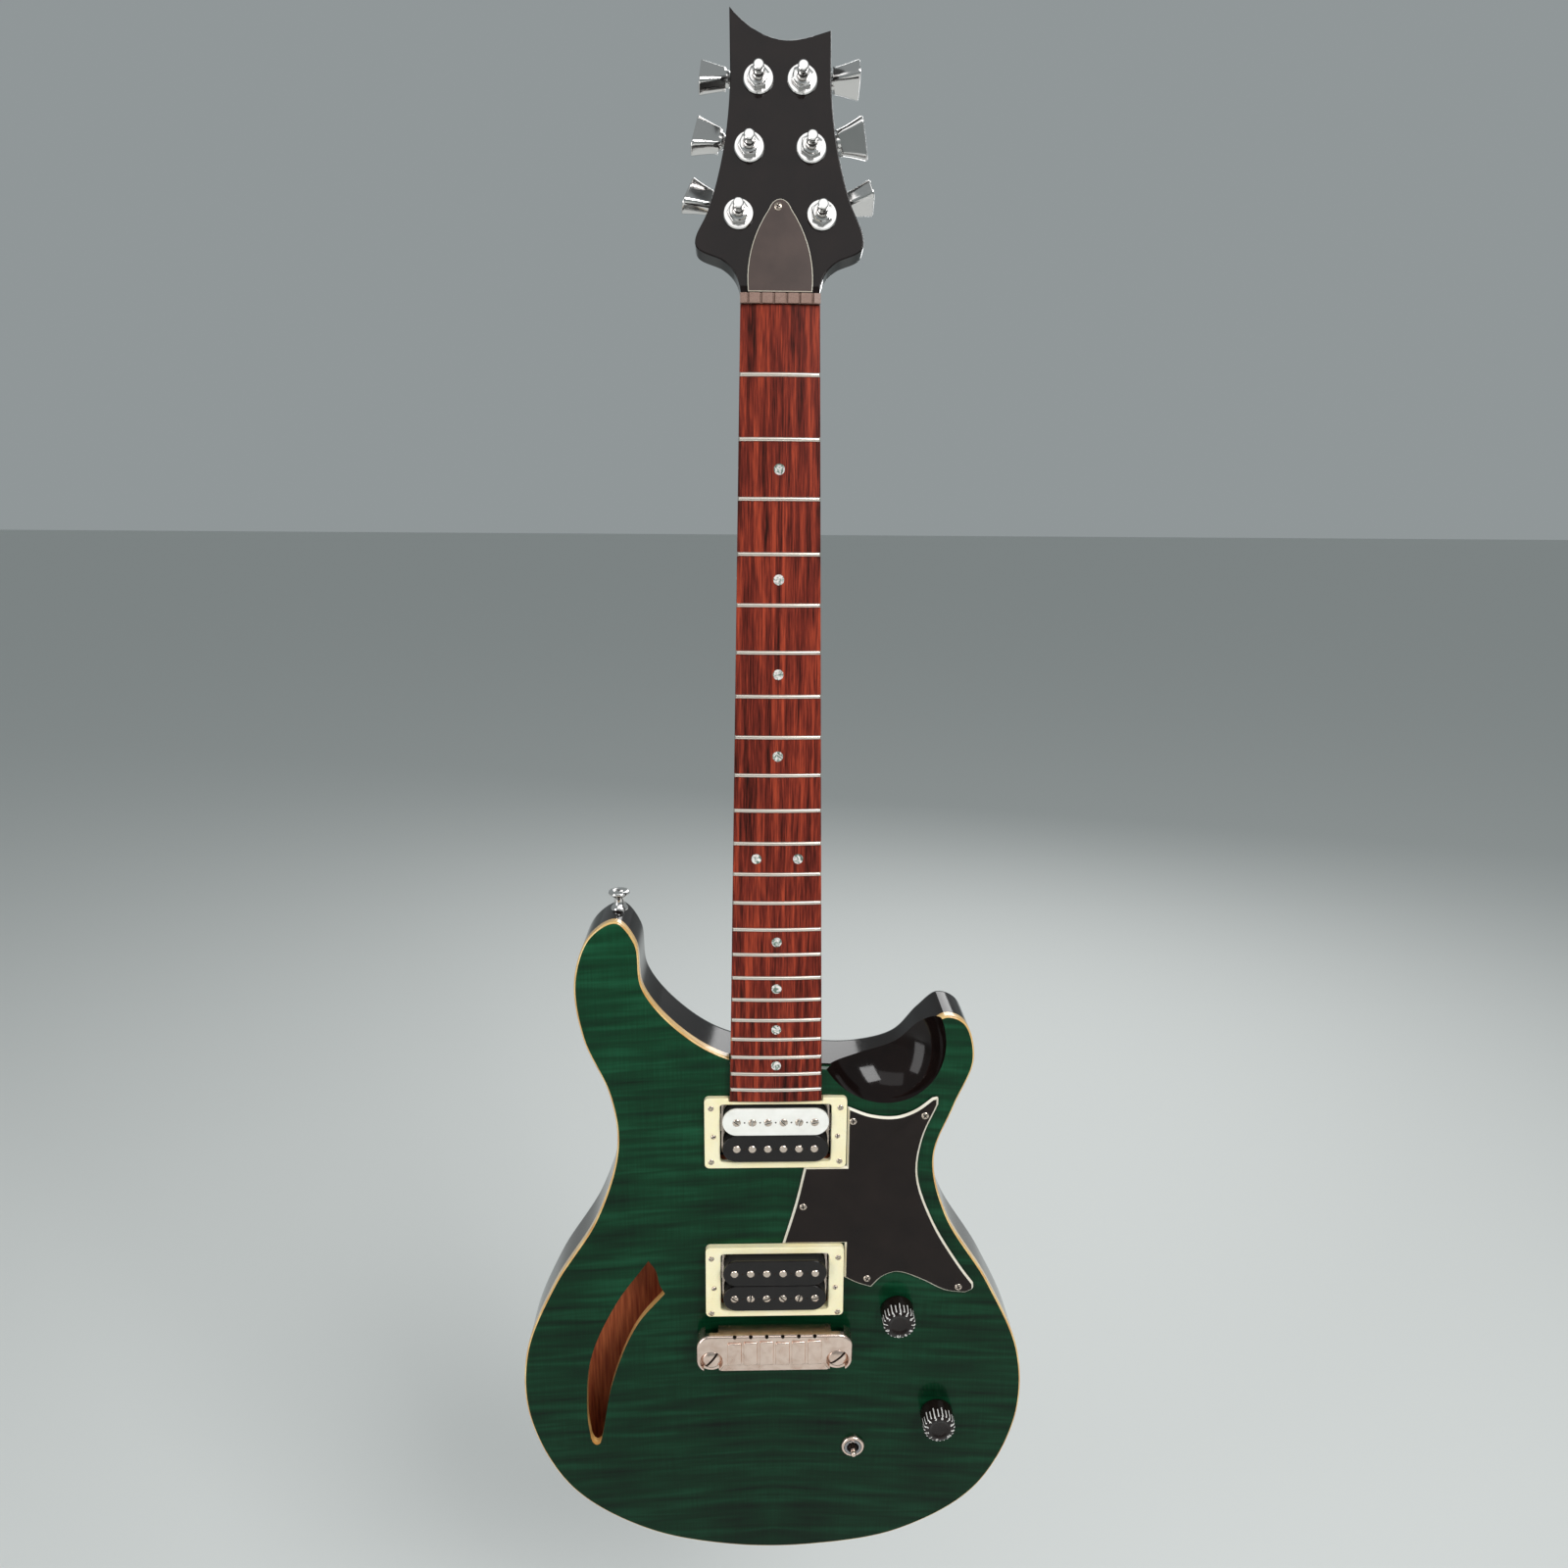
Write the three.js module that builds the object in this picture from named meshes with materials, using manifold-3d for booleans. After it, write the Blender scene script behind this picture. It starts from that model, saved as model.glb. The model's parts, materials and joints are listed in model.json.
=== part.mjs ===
// Solid-body style electric guitar with a semi-hollow bass side, hanging upright.
// Millimetres, +Z up along the neck, +X towards the treble side, the front faces -Y.
// The origin is the hanger seat: the middle of the headstock's thickness, level with the
// undersides of the two lower ears, where a yoke carries the instrument.
//
// A "station" is a distance measured down the instrument from the nut; at() turns it into Z.

import * as THREE from 'three';
import { mergeVertices } from 'three/addons/utils/BufferGeometryUtils.js';
import Module from 'manifold-3d';

const wasm = await Module();
wasm.setup();

// ---------------------------------------------------------------- driving dimensions

const STRINGS = 6;
const NUT_Z = -27.6;               // the nut hangs this far below the hanger seat
const TOP_Y = -22;                 // front face of the body
const BACK_Y = 22;                 // back face of the body
const NECK_PITCH = THREE.MathUtils.degToRad(1.5);
const HEAD_PITCH = THREE.MathUtils.degToRad(10);
const NUT_Y = TOP_Y + 5.97;        // the fingerboard's surface at the nut lies behind the body's front
const GAP = 0.3;                   // glue line or running gap between neighbours
const ROUND = 10;                  // flats on a small round piece
const ROUNDER = 16;                // flats on a larger one

const CAP_THICKNESS = 6;
const BINDING_WIDTH = 1.5;
const EDGE_RADIUS = 1.3;           // soft front edge of the binding
const BACK_RADIUS = 8;             // roundover of the back

const BOARD_LENGTH = 465;
const BOARD_THICKNESS = 5.2;
const BOARD_HALF_AT_NUT = 21.4;
const BOARD_HALF_AT_END = 28.6;
const BOARD_CROWN = 1.3;
const NUT_THICKNESS = 5.2;
const NUT_STRING_PITCH = 6.9;

const HEAD_STEP = 4;               // the headstock's face starts this far under the board's surface
const HEAD_THICKNESS = 14.5;
const NECK_DEPTH_AT_NUT = 20.5;    // board surface to the back of the neck
const NECK_DEPTH_AT_HEEL = 41.5;
const HEEL_START = 372;
const HEEL_END = 446;
const TENON_END = 461;
const TENON_HALF = 21;

const TUNER_ROWS = [
  { x: 11.7, z: 118.5, tilt: THREE.MathUtils.degToRad(3) },
  { x: 16.6, z: 83, tilt: THREE.MathUtils.degToRad(11) },
  { x: 22.3, z: 47.8, tilt: THREE.MathUtils.degToRad(17) },
];
const WORM_OFFSET = 9;
const WORM_DEPTH = 19.2;
const GEAR_RADIUS = 6.2;
const BUTTON_INNER = 18;
const BUTTON_LENGTH = 14.5;
const BUTTON_WIDTH = 22.5;
const BUTTON_THICKNESS = 11;
// How far round each button happens to have been left, bass side then treble, top row first.
const BUTTON_TURNS = { bass: [35, 20, 30], treble: [78, 25, 80] };

const PICKUPS = {
  neck: { station: 487.9, ringFront: [4.1, 4.1], top: 7.5 },
  bridge: { station: 594, ringFront: [5.1, 8], top: 11 },
};
const RING_WIDTH = 89.4;
const RING_HEIGHT = 49;
const RING_OPENING = [69.8, 40];
const BOBBIN = { length: 66.6, width: 18.2, pitch: 18.5, height: 12 };
const BASEPLATE = { sheet: 1.2, tray: [68.4, 37.4], legDrop: 5, earHalf: 6, earEnd: 41, screwX: 39 };

const BRIDGE_STATION = 638.5;      // middle of the bridge's bar
const BRIDGE_FRONT = 16;           // height of the bar over the body
const BRIDGE_UNDER = 5;
const STUD_STATION = 646;
const STUD_X = 41.1;

const VOLUME_AT = [81, 620.5];
const TONE_AT = [110.3, 702];
const TOGGLE_AT = [54, 728];
const KNOB = { base: 11, top: 10.2, height: 15, lift: 0.8 };

const JACK_STATION = 684;
const SIDE_X = 166.4;              // widest point of the treble side
const HORN_BUTTON_X = -96.6;
const HORN_BUTTON_STATION = 347.6;
const END_STATION = 812.9;

// ---------------------------------------------------------------- finishes

function finish(color, roughness, metalness) {
  return new THREE.MeshStandardMaterial({ color, roughness, metalness });
}

const GREEN_MAPLE = finish('#17482c', 0.12, 0);
const PLAIN_MAPLE = finish('#e3b96c', 0.25, 0);
const BLACK_LACQUER = finish('#120d0c', 0.1, 0);
const ROSEWOOD = finish('#5a2418', 0.5, 0);
const CREAM_PLASTIC = finish('#f4eac2', 0.3, 0);
const BLACK_PLASTIC = finish('#15110f', 0.25, 0);
const WHITE_PLASTIC = finish('#f3f1ea', 0.3, 0);
const NUT_MATERIAL = finish('#3a2f2a', 0.4, 0);
const NICKEL = finish('#c9b8ad', 0.22, 1);
const CHROME = finish('#d8d2cd', 0.12, 1);
const STEEL = finish('#9a9a9c', 0.35, 1);
const BRASS = finish('#b58a45', 0.35, 1);

// ---------------------------------------------------------------- working with solids

function at(station) {
  return NUT_Z - station;
}

// Six times the volume that the triangles enclose: below zero when they face inwards.
function enclosed(points, triangles) {
  let sum = 0;
  for (let i = 0; i < triangles.length; i += 3) {
    const [a, b, c] = [0, 1, 2].map((k) => new THREE.Vector3().fromArray(points, 3 * triangles[i + k]));
    sum += a.dot(b.cross(c));
  }
  return sum;
}

// A closed solid from a three.js geometry: positions only, merged, facing out, without empty triangles.
function solid(geometry) {
  const bare = geometry.clone();
  for (const name of Object.keys(bare.attributes)) {
    if (name !== 'position') bare.deleteAttribute(name);
  }
  const merged = mergeVertices(bare, 1e-4);
  const points = new Float32Array(merged.getAttribute('position').array);
  const index = merged.getIndex().array;
  const triangles = [];
  for (let i = 0; i < index.length; i += 3) {
    const [a, b, c] = [index[i], index[i + 1], index[i + 2]];
    if (a !== b && b !== c && a !== c) triangles.push(a, b, c);
  }
  if (enclosed(points, triangles) < 0) triangles.reverse();
  return new wasm.Manifold(new wasm.Mesh({
    numProp: 3,
    vertProperties: points,
    triVerts: new Uint32Array(triangles),
  }));
}

function geometryOf(body) {
  const mesh = body.getMesh();
  const geometry = new THREE.BufferGeometry();
  geometry.setAttribute('position', new THREE.BufferAttribute(new Float32Array(mesh.vertProperties), 3));
  geometry.setIndex(new THREE.BufferAttribute(new Uint32Array(mesh.triVerts), 1));
  geometry.computeVertexNormals();
  return geometry;
}

// Puts a solid that was made in one group's space into its parent's space.
function moved(body, matrix) {
  return body.transform(matrix.elements);
}

function join(first, ...rest) {
  return rest.reduce((whole, piece) => whole.add(piece), first);
}

function cut(first, ...rest) {
  return rest.reduce((whole, piece) => whole.subtract(piece), first);
}

// Turns an extrusion in the drawing plane into one that runs from depth `near` to depth `far`.
function stood(geometry, far) {
  geometry.rotateX(Math.PI / 2);
  geometry.translate(0, far, 0);
  return solid(geometry);
}

function plate(shape, near, far) {
  return stood(new THREE.ExtrudeGeometry(shape, {
    depth: far - near, bevelEnabled: false, curveSegments: 3,
  }), far);
}

function softPlate(shape, near, far, radius, segments) {
  return stood(new THREE.ExtrudeGeometry(shape, {
    depth: far - near - 2 * radius,
    bevelEnabled: true,
    bevelThickness: radius,
    bevelSize: radius,
    bevelOffset: -radius,
    bevelSegments: segments,
    curveSegments: 3,
  }), far - radius);
}

function shapeOf(points) {
  return new THREE.Shape(points.map(([x, z]) => new THREE.Vector2(x, z)));
}

function roundedRectangle(width, height, radius, centreX = 0, centreZ = 0) {
  const w = width / 2 - radius;
  const h = height / 2 - radius;
  const shape = new THREE.Shape();
  shape.absarc(centreX + w, centreZ + h, radius, 0, Math.PI / 2);
  shape.absarc(centreX - w, centreZ + h, radius, Math.PI / 2, Math.PI);
  shape.absarc(centreX - w, centreZ - h, radius, Math.PI, 1.5 * Math.PI);
  shape.absarc(centreX + w, centreZ - h, radius, 1.5 * Math.PI, 2 * Math.PI);
  return shape;
}

// A box from its lowest to its highest corner.
function block(low, high) {
  const size = high.map((value, axis) => value - low[axis]);
  const geometry = new THREE.BoxGeometry(...size);
  geometry.translate(low[0] + size[0] / 2, low[1] + size[1] / 2, low[2] + size[2] / 2);
  return solid(geometry);
}

// A cylinder whose axis runs front to back.
function peg(radius, near, far, x = 0, z = 0, segments = ROUND) {
  const geometry = new THREE.CylinderGeometry(radius, radius, far - near, segments);
  geometry.translate(x, (near + far) / 2, z);
  return solid(geometry);
}

// A piece turned about the front-to-back axis from [radius, depth] pairs.
function turned(profile, segments = ROUND) {
  const points = profile.map(([radius, depth]) => new THREE.Vector2(radius, depth));
  return solid(new THREE.LatheGeometry(points, segments));
}

// A closed smooth line through [x, station] pairs, as [x, z] pairs, with a few steps for each knot.
function smoothLoop(pairs, perKnot) {
  const knots = pairs.map(([x, station]) => new THREE.Vector3(x, at(station), 0));
  const curve = new THREE.CatmullRomCurve3(knots, true, 'centripetal');
  return curve.getPoints(pairs.length * perKnot).slice(0, -1).map((p) => [p.x, p.y]);
}

// The same line moved inwards by a distance. The lines here run clockwise seen from the front.
function inset(points, distance) {
  return points.map(([x, z], i) => {
    const before = points[(i + points.length - 1) % points.length];
    const after = points[(i + 1) % points.length];
    const along = new THREE.Vector2(after[0] - before[0], after[1] - before[1]).normalize();
    return [x + along.y * distance * INWARDS, z - along.x * distance * INWARDS];
  });
}

// ---------------------------------------------------------------- spaces of neck and headstock

const guitar = new THREE.Group();
const neckSpace = new THREE.Group();
neckSpace.position.set(0, NUT_Y, NUT_Z);
neckSpace.rotation.x = -NECK_PITCH;
const headSpace = new THREE.Group();
headSpace.position.set(0, HEAD_STEP, 0);
headSpace.rotation.x = -HEAD_PITCH;
neckSpace.add(headSpace);
guitar.add(neckSpace);
guitar.updateMatrixWorld(true);
headSpace.updateMatrix();

function place(name, body, material, space = guitar) {
  const mesh = new THREE.Mesh(geometryOf(body), material);
  mesh.name = name;
  space.add(mesh);
  return mesh;
}

// ---------------------------------------------------------------- outlines of the body

// Down the bass side from the neck, round the horn, waist and tail, up the treble side to
// its shorter horn, and through the cutaway back to the neck.
const BODY_LINE = smoothLoop([
  [-29, 438], [-60, 418.5], [-81.2, 391], [-85, 362], [-96.6, 348], [-113, 357.5],
  [-123, 386], [-119, 424], [-103.5, 464], [-100, 500], [-114.5, 550], [-144, 600],
  [-164, 652], [-163.5, 704], [-137.5, 760], [-88, 795.5], [-30, 810.5], [30, 811.5],
  [88, 800], [138, 767], [164, 712], [164, 657], [141, 601.5], [111, 550],
  [101.5, 508], [113, 472], [124, 440], [117.5, 415.5], [105, 410.6], [92, 421],
  [77, 437.5], [53, 444.5], [28, 444.8],
], 3);
const INWARDS = THREE.ShapeUtils.area(BODY_LINE.map(([x, y]) => ({ x, y }))) < 0 ? 1 : -1;

const BOTTOM_OF_CAP = TOP_Y + CAP_THICKNESS;

// ---------------------------------------------------------------- neck, shared by neck and pocket

function neckHalfWidth(station) {
  const t = station / BOARD_LENGTH;
  return BOARD_HALF_AT_NUT + (BOARD_HALF_AT_END - BOARD_HALF_AT_NUT) * t;
}

function neckDepth(station) {
  const plain = NECK_DEPTH_AT_NUT + 2.5 * Math.min(Math.max(station, 0) / HEEL_START, 1);
  const t = THREE.MathUtils.smoothstep(station, HEEL_START, HEEL_END - 12);
  return plain + (NECK_DEPTH_AT_HEEL - plain) * t;
}

// The neck's wood under the board: a D section that widens and deepens towards the heel.
function neckShaft(grow) {
  const section = new THREE.Shape();
  section.moveTo(-1, 0);
  const sides = 12;
  for (let i = 1; i < sides; i += 1) {
    const turn = Math.PI * (1 - i / sides);
    section.lineTo(Math.sign(Math.cos(turn)) * Math.abs(Math.cos(turn)) ** 0.85, Math.sin(turn) ** 0.8);
  }
  section.lineTo(1, 0);
  const geometry = new THREE.ExtrudeGeometry(section, { depth: 1, steps: 20, bevelEnabled: false });
  const position = geometry.getAttribute('position');
  const start = -10 - grow;
  const end = HEEL_END + grow;
  const under = BOARD_THICKNESS + GAP - grow;
  for (let i = 0; i < position.count; i += 1) {
    // Half of the steps fall on the heel's curve.
    const t = position.getZ(i);
    const station = t < 0.5
      ? start + (HEEL_START - start) * 2 * t
      : HEEL_START + (end - HEEL_START) * (2 * t - 1);
    position.setXYZ(
      i,
      position.getX(i) * (neckHalfWidth(Math.max(station, 0)) - 0.2 + grow),
      under + position.getY(i) * (neckDepth(station) - under + grow),
      -station,
    );
  }
  return solid(geometry);
}

function neckTenon(grow) {
  return block(
    [-TENON_HALF - grow, BOARD_THICKNESS + GAP - grow, -TENON_END - grow],
    [TENON_HALF + grow, NECK_DEPTH_AT_HEEL - 8 + grow, -HEEL_END + 6],
  );
}

// ---------------------------------------------------------------- neck and headstock

const HEAD_OUTLINE = new THREE.Shape();
HEAD_OUTLINE.moveTo(-21.2, 0);
HEAD_OUTLINE.lineTo(-21.2, 5);
HEAD_OUTLINE.bezierCurveTo(-21.4, 14, -25, 20, -32, 24);
HEAD_OUTLINE.bezierCurveTo(-39, 27, -46.5, 27.5, -45.6, 34);
HEAD_OUTLINE.bezierCurveTo(-45, 39, -41, 43, -38, 51.5);
HEAD_OUTLINE.bezierCurveTo(-30.5, 74, -27, 98, -26.8, 122);
HEAD_OUTLINE.lineTo(-27.2, 156);
HEAD_OUTLINE.bezierCurveTo(-21, 148.5, -10, 139.5, 3, 139);
HEAD_OUTLINE.bezierCurveTo(11, 139, 18, 141.5, 27, 144.5);
HEAD_OUTLINE.lineTo(27.2, 118);
HEAD_OUTLINE.bezierCurveTo(28, 94, 31.5, 74, 38, 54);
HEAD_OUTLINE.bezierCurveTo(40.5, 47, 45, 40.5, 45, 34);
HEAD_OUTLINE.bezierCurveTo(45.5, 27.5, 39, 27, 32, 24);
HEAD_OUTLINE.bezierCurveTo(25, 20, 21.4, 14, 21.2, 5);
HEAD_OUTLINE.lineTo(21.2, 0);

const TUNER_HOLE = 4.9;
const ROD_HALF = 3;
const ROD_FRONT = 7;
const ROD_DEPTH = 15.5;
const ROD_END = 410;
const ROD_ACCESS = { half: 6.5, from: 8, to: 40, depth: 10.5 };

function makeNeck() {
  const paddle = softPlate(HEAD_OUTLINE, 0, HEAD_THICKNESS, 0.9, 1);
  const holes = [];
  for (const side of [-1, 1]) {
    for (const row of TUNER_ROWS) {
      holes.push(peg(TUNER_HOLE, -1, HEAD_THICKNESS + 1, side * row.x, row.z));
    }
  }
  const { half, from, to, depth } = ROD_ACCESS;
  const access = plate(roundedRectangle(2 * half, to - from, 3, 0, (to + from) / 2), -1, depth);
  const head = moved(cut(paddle, ...holes, access), headSpace.matrix);
  const nutLedge = block([-30, -5, -0.5], [30, BOARD_THICKNESS + GAP, NUT_THICKNESS + 2 * GAP]);
  const rodSlot = block([-ROD_HALF - GAP, 2, -ROD_END - GAP], [ROD_HALF + GAP, ROD_DEPTH + GAP, 12]);
  return cut(join(neckShaft(0), head, neckTenon(0)), nutLedge, rodSlot);
}

place('neck', makeNeck(), BLACK_LACQUER, neckSpace);

// Two-way truss rod: one square steel channel with a hexagon nut in the headstock's pocket.
function makeTrussRod() {
  const channel = block([-ROD_HALF, ROD_FRONT, -ROD_END], [ROD_HALF, ROD_DEPTH, 11.5]);
  const nut = new THREE.CylinderGeometry(3.9, 3.9, 11, 6);
  nut.rotateX(Math.PI / 2);
  nut.translate(0, 12.2, 16.5);
  const socket = new THREE.CylinderGeometry(2.1, 2.1, 8, 6);
  socket.rotateX(Math.PI / 2);
  socket.translate(0, 12.2, 20);
  return cut(join(channel, solid(nut)), solid(socket));
}

place('truss_rod', makeTrussRod(), STEEL, neckSpace);

function makeFingerboard() {
  const section = new THREE.Shape();
  section.moveTo(-1, BOARD_THICKNESS);
  const facets = 8;
  for (let i = 0; i <= facets; i += 1) {
    const x = -1 + (2 * i) / facets;
    section.lineTo(x, BOARD_CROWN * x * x);
  }
  section.lineTo(1, BOARD_THICKNESS);
  const geometry = new THREE.ExtrudeGeometry(section, { depth: 1, steps: 1, bevelEnabled: false });
  const position = geometry.getAttribute('position');
  for (let i = 0; i < position.count; i += 1) {
    const station = position.getZ(i) * BOARD_LENGTH;
    position.setXYZ(i, position.getX(i) * neckHalfWidth(station), position.getY(i), -station);
  }
  return solid(geometry);
}

place('fingerboard', makeFingerboard(), ROSEWOOD, neckSpace);

// The nut, with one shallow notch for each string.
function makeNut() {
  const front = -1.9;
  const halfWidth = BOARD_HALF_AT_NUT + 0.1;
  const shape = new THREE.Shape();
  shape.moveTo(-halfWidth, -BOARD_THICKNESS);
  shape.lineTo(halfWidth, -BOARD_THICKNESS);
  shape.lineTo(halfWidth, -front - 0.7);
  for (let i = STRINGS - 1; i >= 0; i -= 1) {
    const x = (i - (STRINGS - 1) / 2) * NUT_STRING_PITCH;
    shape.lineTo(x + 0.7, -front);
    shape.lineTo(x + 0.25, -front - 1.1);
    shape.lineTo(x - 0.25, -front - 1.1);
    shape.lineTo(x - 0.7, -front);
  }
  shape.lineTo(-halfWidth, -front - 0.7);
  const geometry = new THREE.ExtrudeGeometry(shape, { depth: NUT_THICKNESS, bevelEnabled: false });
  // The drawing's y is height towards the front, so it becomes -Y.
  geometry.applyMatrix4(new THREE.Matrix4().makeBasis(
    new THREE.Vector3(1, 0, 0), new THREE.Vector3(0, -1, 0), new THREE.Vector3(0, 0, -1),
  ));
  geometry.translate(0, 0, NUT_THICKNESS + GAP);
  return solid(geometry);
}

place('string_nut', makeNut(), NUT_MATERIAL, neckSpace);

const ROD_COVER = new THREE.Shape();
ROD_COVER.moveTo(-17.2, 6.6);
ROD_COVER.bezierCurveTo(-18.5, 20, -16, 35, -6, 50);
ROD_COVER.bezierCurveTo(-3.5, 57, 3.5, 57, 6, 50);
ROD_COVER.bezierCurveTo(16, 35, 18.5, 20, 17.2, 6.6);
place('truss_rod_cover', plate(ROD_COVER, -2 - GAP, -GAP), BLACK_PLASTIC, headSpace);

// ---------------------------------------------------------------- tuning machines

const HOUSING_WALL = 1.2;
const HOUSING_BACK = 25.2;
const HOUSING_FRONT = HEAD_THICKNESS + GAP;

// In each machine's own space +X runs out along the worm and the post stands at the middle.
function makeHousing(lift) {
  const middle = (lift * 5) / 18;
  const outer = plate(roundedRectangle(18, 20, 4, 0, middle), HOUSING_FRONT, HOUSING_BACK);
  const inner = plate(
    roundedRectangle(18 - 2 * HOUSING_WALL, 20 - 2 * HOUSING_WALL, 3, 0, middle),
    HOUSING_FRONT - 1,
    HOUSING_BACK - HOUSING_WALL,
  );
  const wormHole = new THREE.CylinderGeometry(2.4, 2.4, 8, 10);
  wormHole.rotateZ(Math.PI / 2);
  wormHole.translate(9, WORM_DEPTH, lift);
  return cut(outer, inner, solid(wormHole));
}

// Flat washer, hexagon nut and threaded sleeve that clamp the machine from the front.
function makeBushing() {
  const hexagon = new THREE.CylinderGeometry(6.3, 6.3, 2.8, 6);
  hexagon.translate(0, -2.3, 0);
  const washer = peg(8.2, -1.3, -GAP, 0, 0, ROUNDER);
  const sleeve = peg(4.5, -2, HEAD_THICKNESS - 0.6);
  return cut(join(sleeve, washer, solid(hexagon)), peg(3.3, -8, HEAD_THICKNESS + 8));
}

// String post with its cross hole, standing on the worm wheel.
function makePost() {
  const post = turned([
    [0, -14.2], [2.9, -14.2], [2.3, -11.2], [2.3, -7.4], [3, -6], [3, 17.2],
    [GEAR_RADIUS, 17.2], [GEAR_RADIUS, 21], [2.6, 21], [2.6, 23.6], [0, 23.6],
  ]);
  const hole = new THREE.CylinderGeometry(0.9, 0.9, 10, 8);
  hole.rotateX(Math.PI / 2);
  hole.translate(0, -9.4, 0);
  return cut(post, solid(hole));
}

// Button and worm shaft, made along +X about its own axis.
function makeButton() {
  const shaft = new THREE.LatheGeometry([
    [0, -5.2], [2.3, -5.2], [2.3, 4.6], [1.8, 4.6], [1.8, 10],
    [3.4, 10], [3.4, 12.6], [2.4, 12.6], [2.4, 15.5], [4.4, 16.4], [4.4, 19.5], [0, 19.5],
  ].map(([radius, along]) => new THREE.Vector2(radius, along)), 8);
  shaft.rotateZ(-Math.PI / 2);
  const grip = new THREE.ExtrudeGeometry(roundedRectangle(BUTTON_WIDTH, BUTTON_THICKNESS, 3.4), {
    depth: BUTTON_LENGTH - 2,
    steps: 2,
    bevelEnabled: true,
    bevelThickness: 1,
    bevelSize: 1,
    bevelOffset: -1,
    bevelSegments: 1,
    curveSegments: 2,
  });
  const position = grip.getAttribute('position');
  for (let i = 0; i < position.count; i += 1) {
    const t = (position.getZ(i) + 1) / BUTTON_LENGTH;
    const spread = 0.58 + 0.42 * t ** 1.3;
    const along = BUTTON_INNER + t * BUTTON_LENGTH;
    position.setXYZ(i, along, position.getY(i) * (0.72 + 0.28 * t), -position.getX(i) * spread);
  }
  return join(solid(shaft), solid(grip));
}

for (const [sideName, side] of [['bass', -1], ['treble', 1]]) {
  TUNER_ROWS.forEach((row, i) => {
    const label = `${sideName}_${i + 1}`;
    const lift = side * WORM_OFFSET;
    const machine = new THREE.Group();
    machine.position.set(side * row.x, 0, row.z);
    machine.rotation.y = side > 0 ? -row.tilt : Math.PI + row.tilt;
    headSpace.add(machine);
    place(`tuner_housing_${label}`, makeHousing(lift), CHROME, machine);
    place(`tuner_bushing_${label}`, makeBushing(), CHROME, machine);
    place(`tuner_post_${label}`, makePost(), CHROME, machine);
    const button = place(`tuner_button_${label}`, makeButton(), CHROME, machine);
    button.position.set(0, WORM_DEPTH, lift);
    button.rotation.x = THREE.MathUtils.degToRad(BUTTON_TURNS[sideName][i]);
  });
}

// ---------------------------------------------------------------- body: cap, back and binding

// The carve that clears a hand at the highest frets: a bowl sunk into the treble cutaway.
function makeScoop() {
  const bowl = new THREE.SphereGeometry(1, 22, 14);
  bowl.scale(40.8, 32, 47);
  bowl.rotateY(-THREE.MathUtils.degToRad(26.7));
  bowl.translate(65.2, TOP_Y - 8, at(425.3));
  return solid(bowl);
}

const scoop = makeScoop();
const pocket = moved(join(neckShaft(GAP), neckTenon(GAP)), neckSpace.matrix);

// The crescent sound hole on the bass side.
function soundHole() {
  const line = (pairs) => pairs.map(([x, station]) => new THREE.Vector2(x, at(station)));
  const shape = new THREE.Shape();
  shape.moveTo(-82, at(582));
  shape.splineThru(line([[-77.5, 589], [-75, 600], [-71.8, 606.6]]));
  shape.splineThru(line([[-91, 631.5], [-109, 674], [-115.5, 712], [-120, 724.6]]));
  shape.splineThru(line([[-125.3, 700], [-121.5, 656], [-104, 614.5], [-82, 582]]));
  return shape;
}

const PICKUP_CAVITY = [84, 42];

function pickupCavity(pickup, near, far) {
  return plate(roundedRectangle(...PICKUP_CAVITY, 4, 0, at(pickup.station)), near, far);
}

function makeCap() {
  const shape = shapeOf(inset(BODY_LINE, BINDING_WIDTH + 0.15));
  const cap = plate(shape, TOP_Y, BOTTOM_OF_CAP - 0.1);
  const near = TOP_Y - 1;
  const far = BOTTOM_OF_CAP + 1;
  return cut(
    cap,
    scoop,
    pocket,
    plate(soundHole(), near, far),
    pickupCavity(PICKUPS.neck, near, far),
    pickupCavity(PICKUPS.bridge, near, far),
    peg(5.8, near, far, -STUD_X, at(STUD_STATION)),
    peg(5.8, near, far, STUD_X, at(STUD_STATION)),
    peg(5, near, far, VOLUME_AT[0], at(VOLUME_AT[1])),
    peg(5, near, far, TONE_AT[0], at(TONE_AT[1])),
    peg(6.3, near, far, TOGGLE_AT[0], at(TOGGLE_AT[1])),
  );
}

place('body_top', makeCap(), GREEN_MAPLE);

const CHAMBER_LINE = smoothLoop([
  [-84, 562], [-67, 600], [-80, 648], [-95, 700], [-104, 742], [-122, 756], [-141, 733],
  [-149, 690], [-146, 650], [-130, 610], [-108, 574],
], 2);
const CHAMBER_BACK = BACK_Y - 11;

const CONTROL_LINE = smoothLoop([
  [80, 597], [103, 609], [124, 650], [134, 696], [124, 729], [94, 748], [58, 752],
  [36, 736], [40, 710], [57, 684], [61, 650], [61, 616],
], 2);
const COVER_THICKNESS = 2;
const COVER_REBATE = 5;

const JACK = { hole: 7, seat: 1.7, plateLength: 38, plateWidth: 26, plateThickness: 1.4 };

// A cylinder along X, for what is let into the treble side.
function sidePeg(radius, from, to, segments = ROUND) {
  const geometry = new THREE.CylinderGeometry(radius, radius, to - from, segments);
  geometry.rotateZ(Math.PI / 2);
  geometry.translate((from + to) / 2, 0, at(JACK_STATION));
  return solid(geometry);
}

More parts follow.
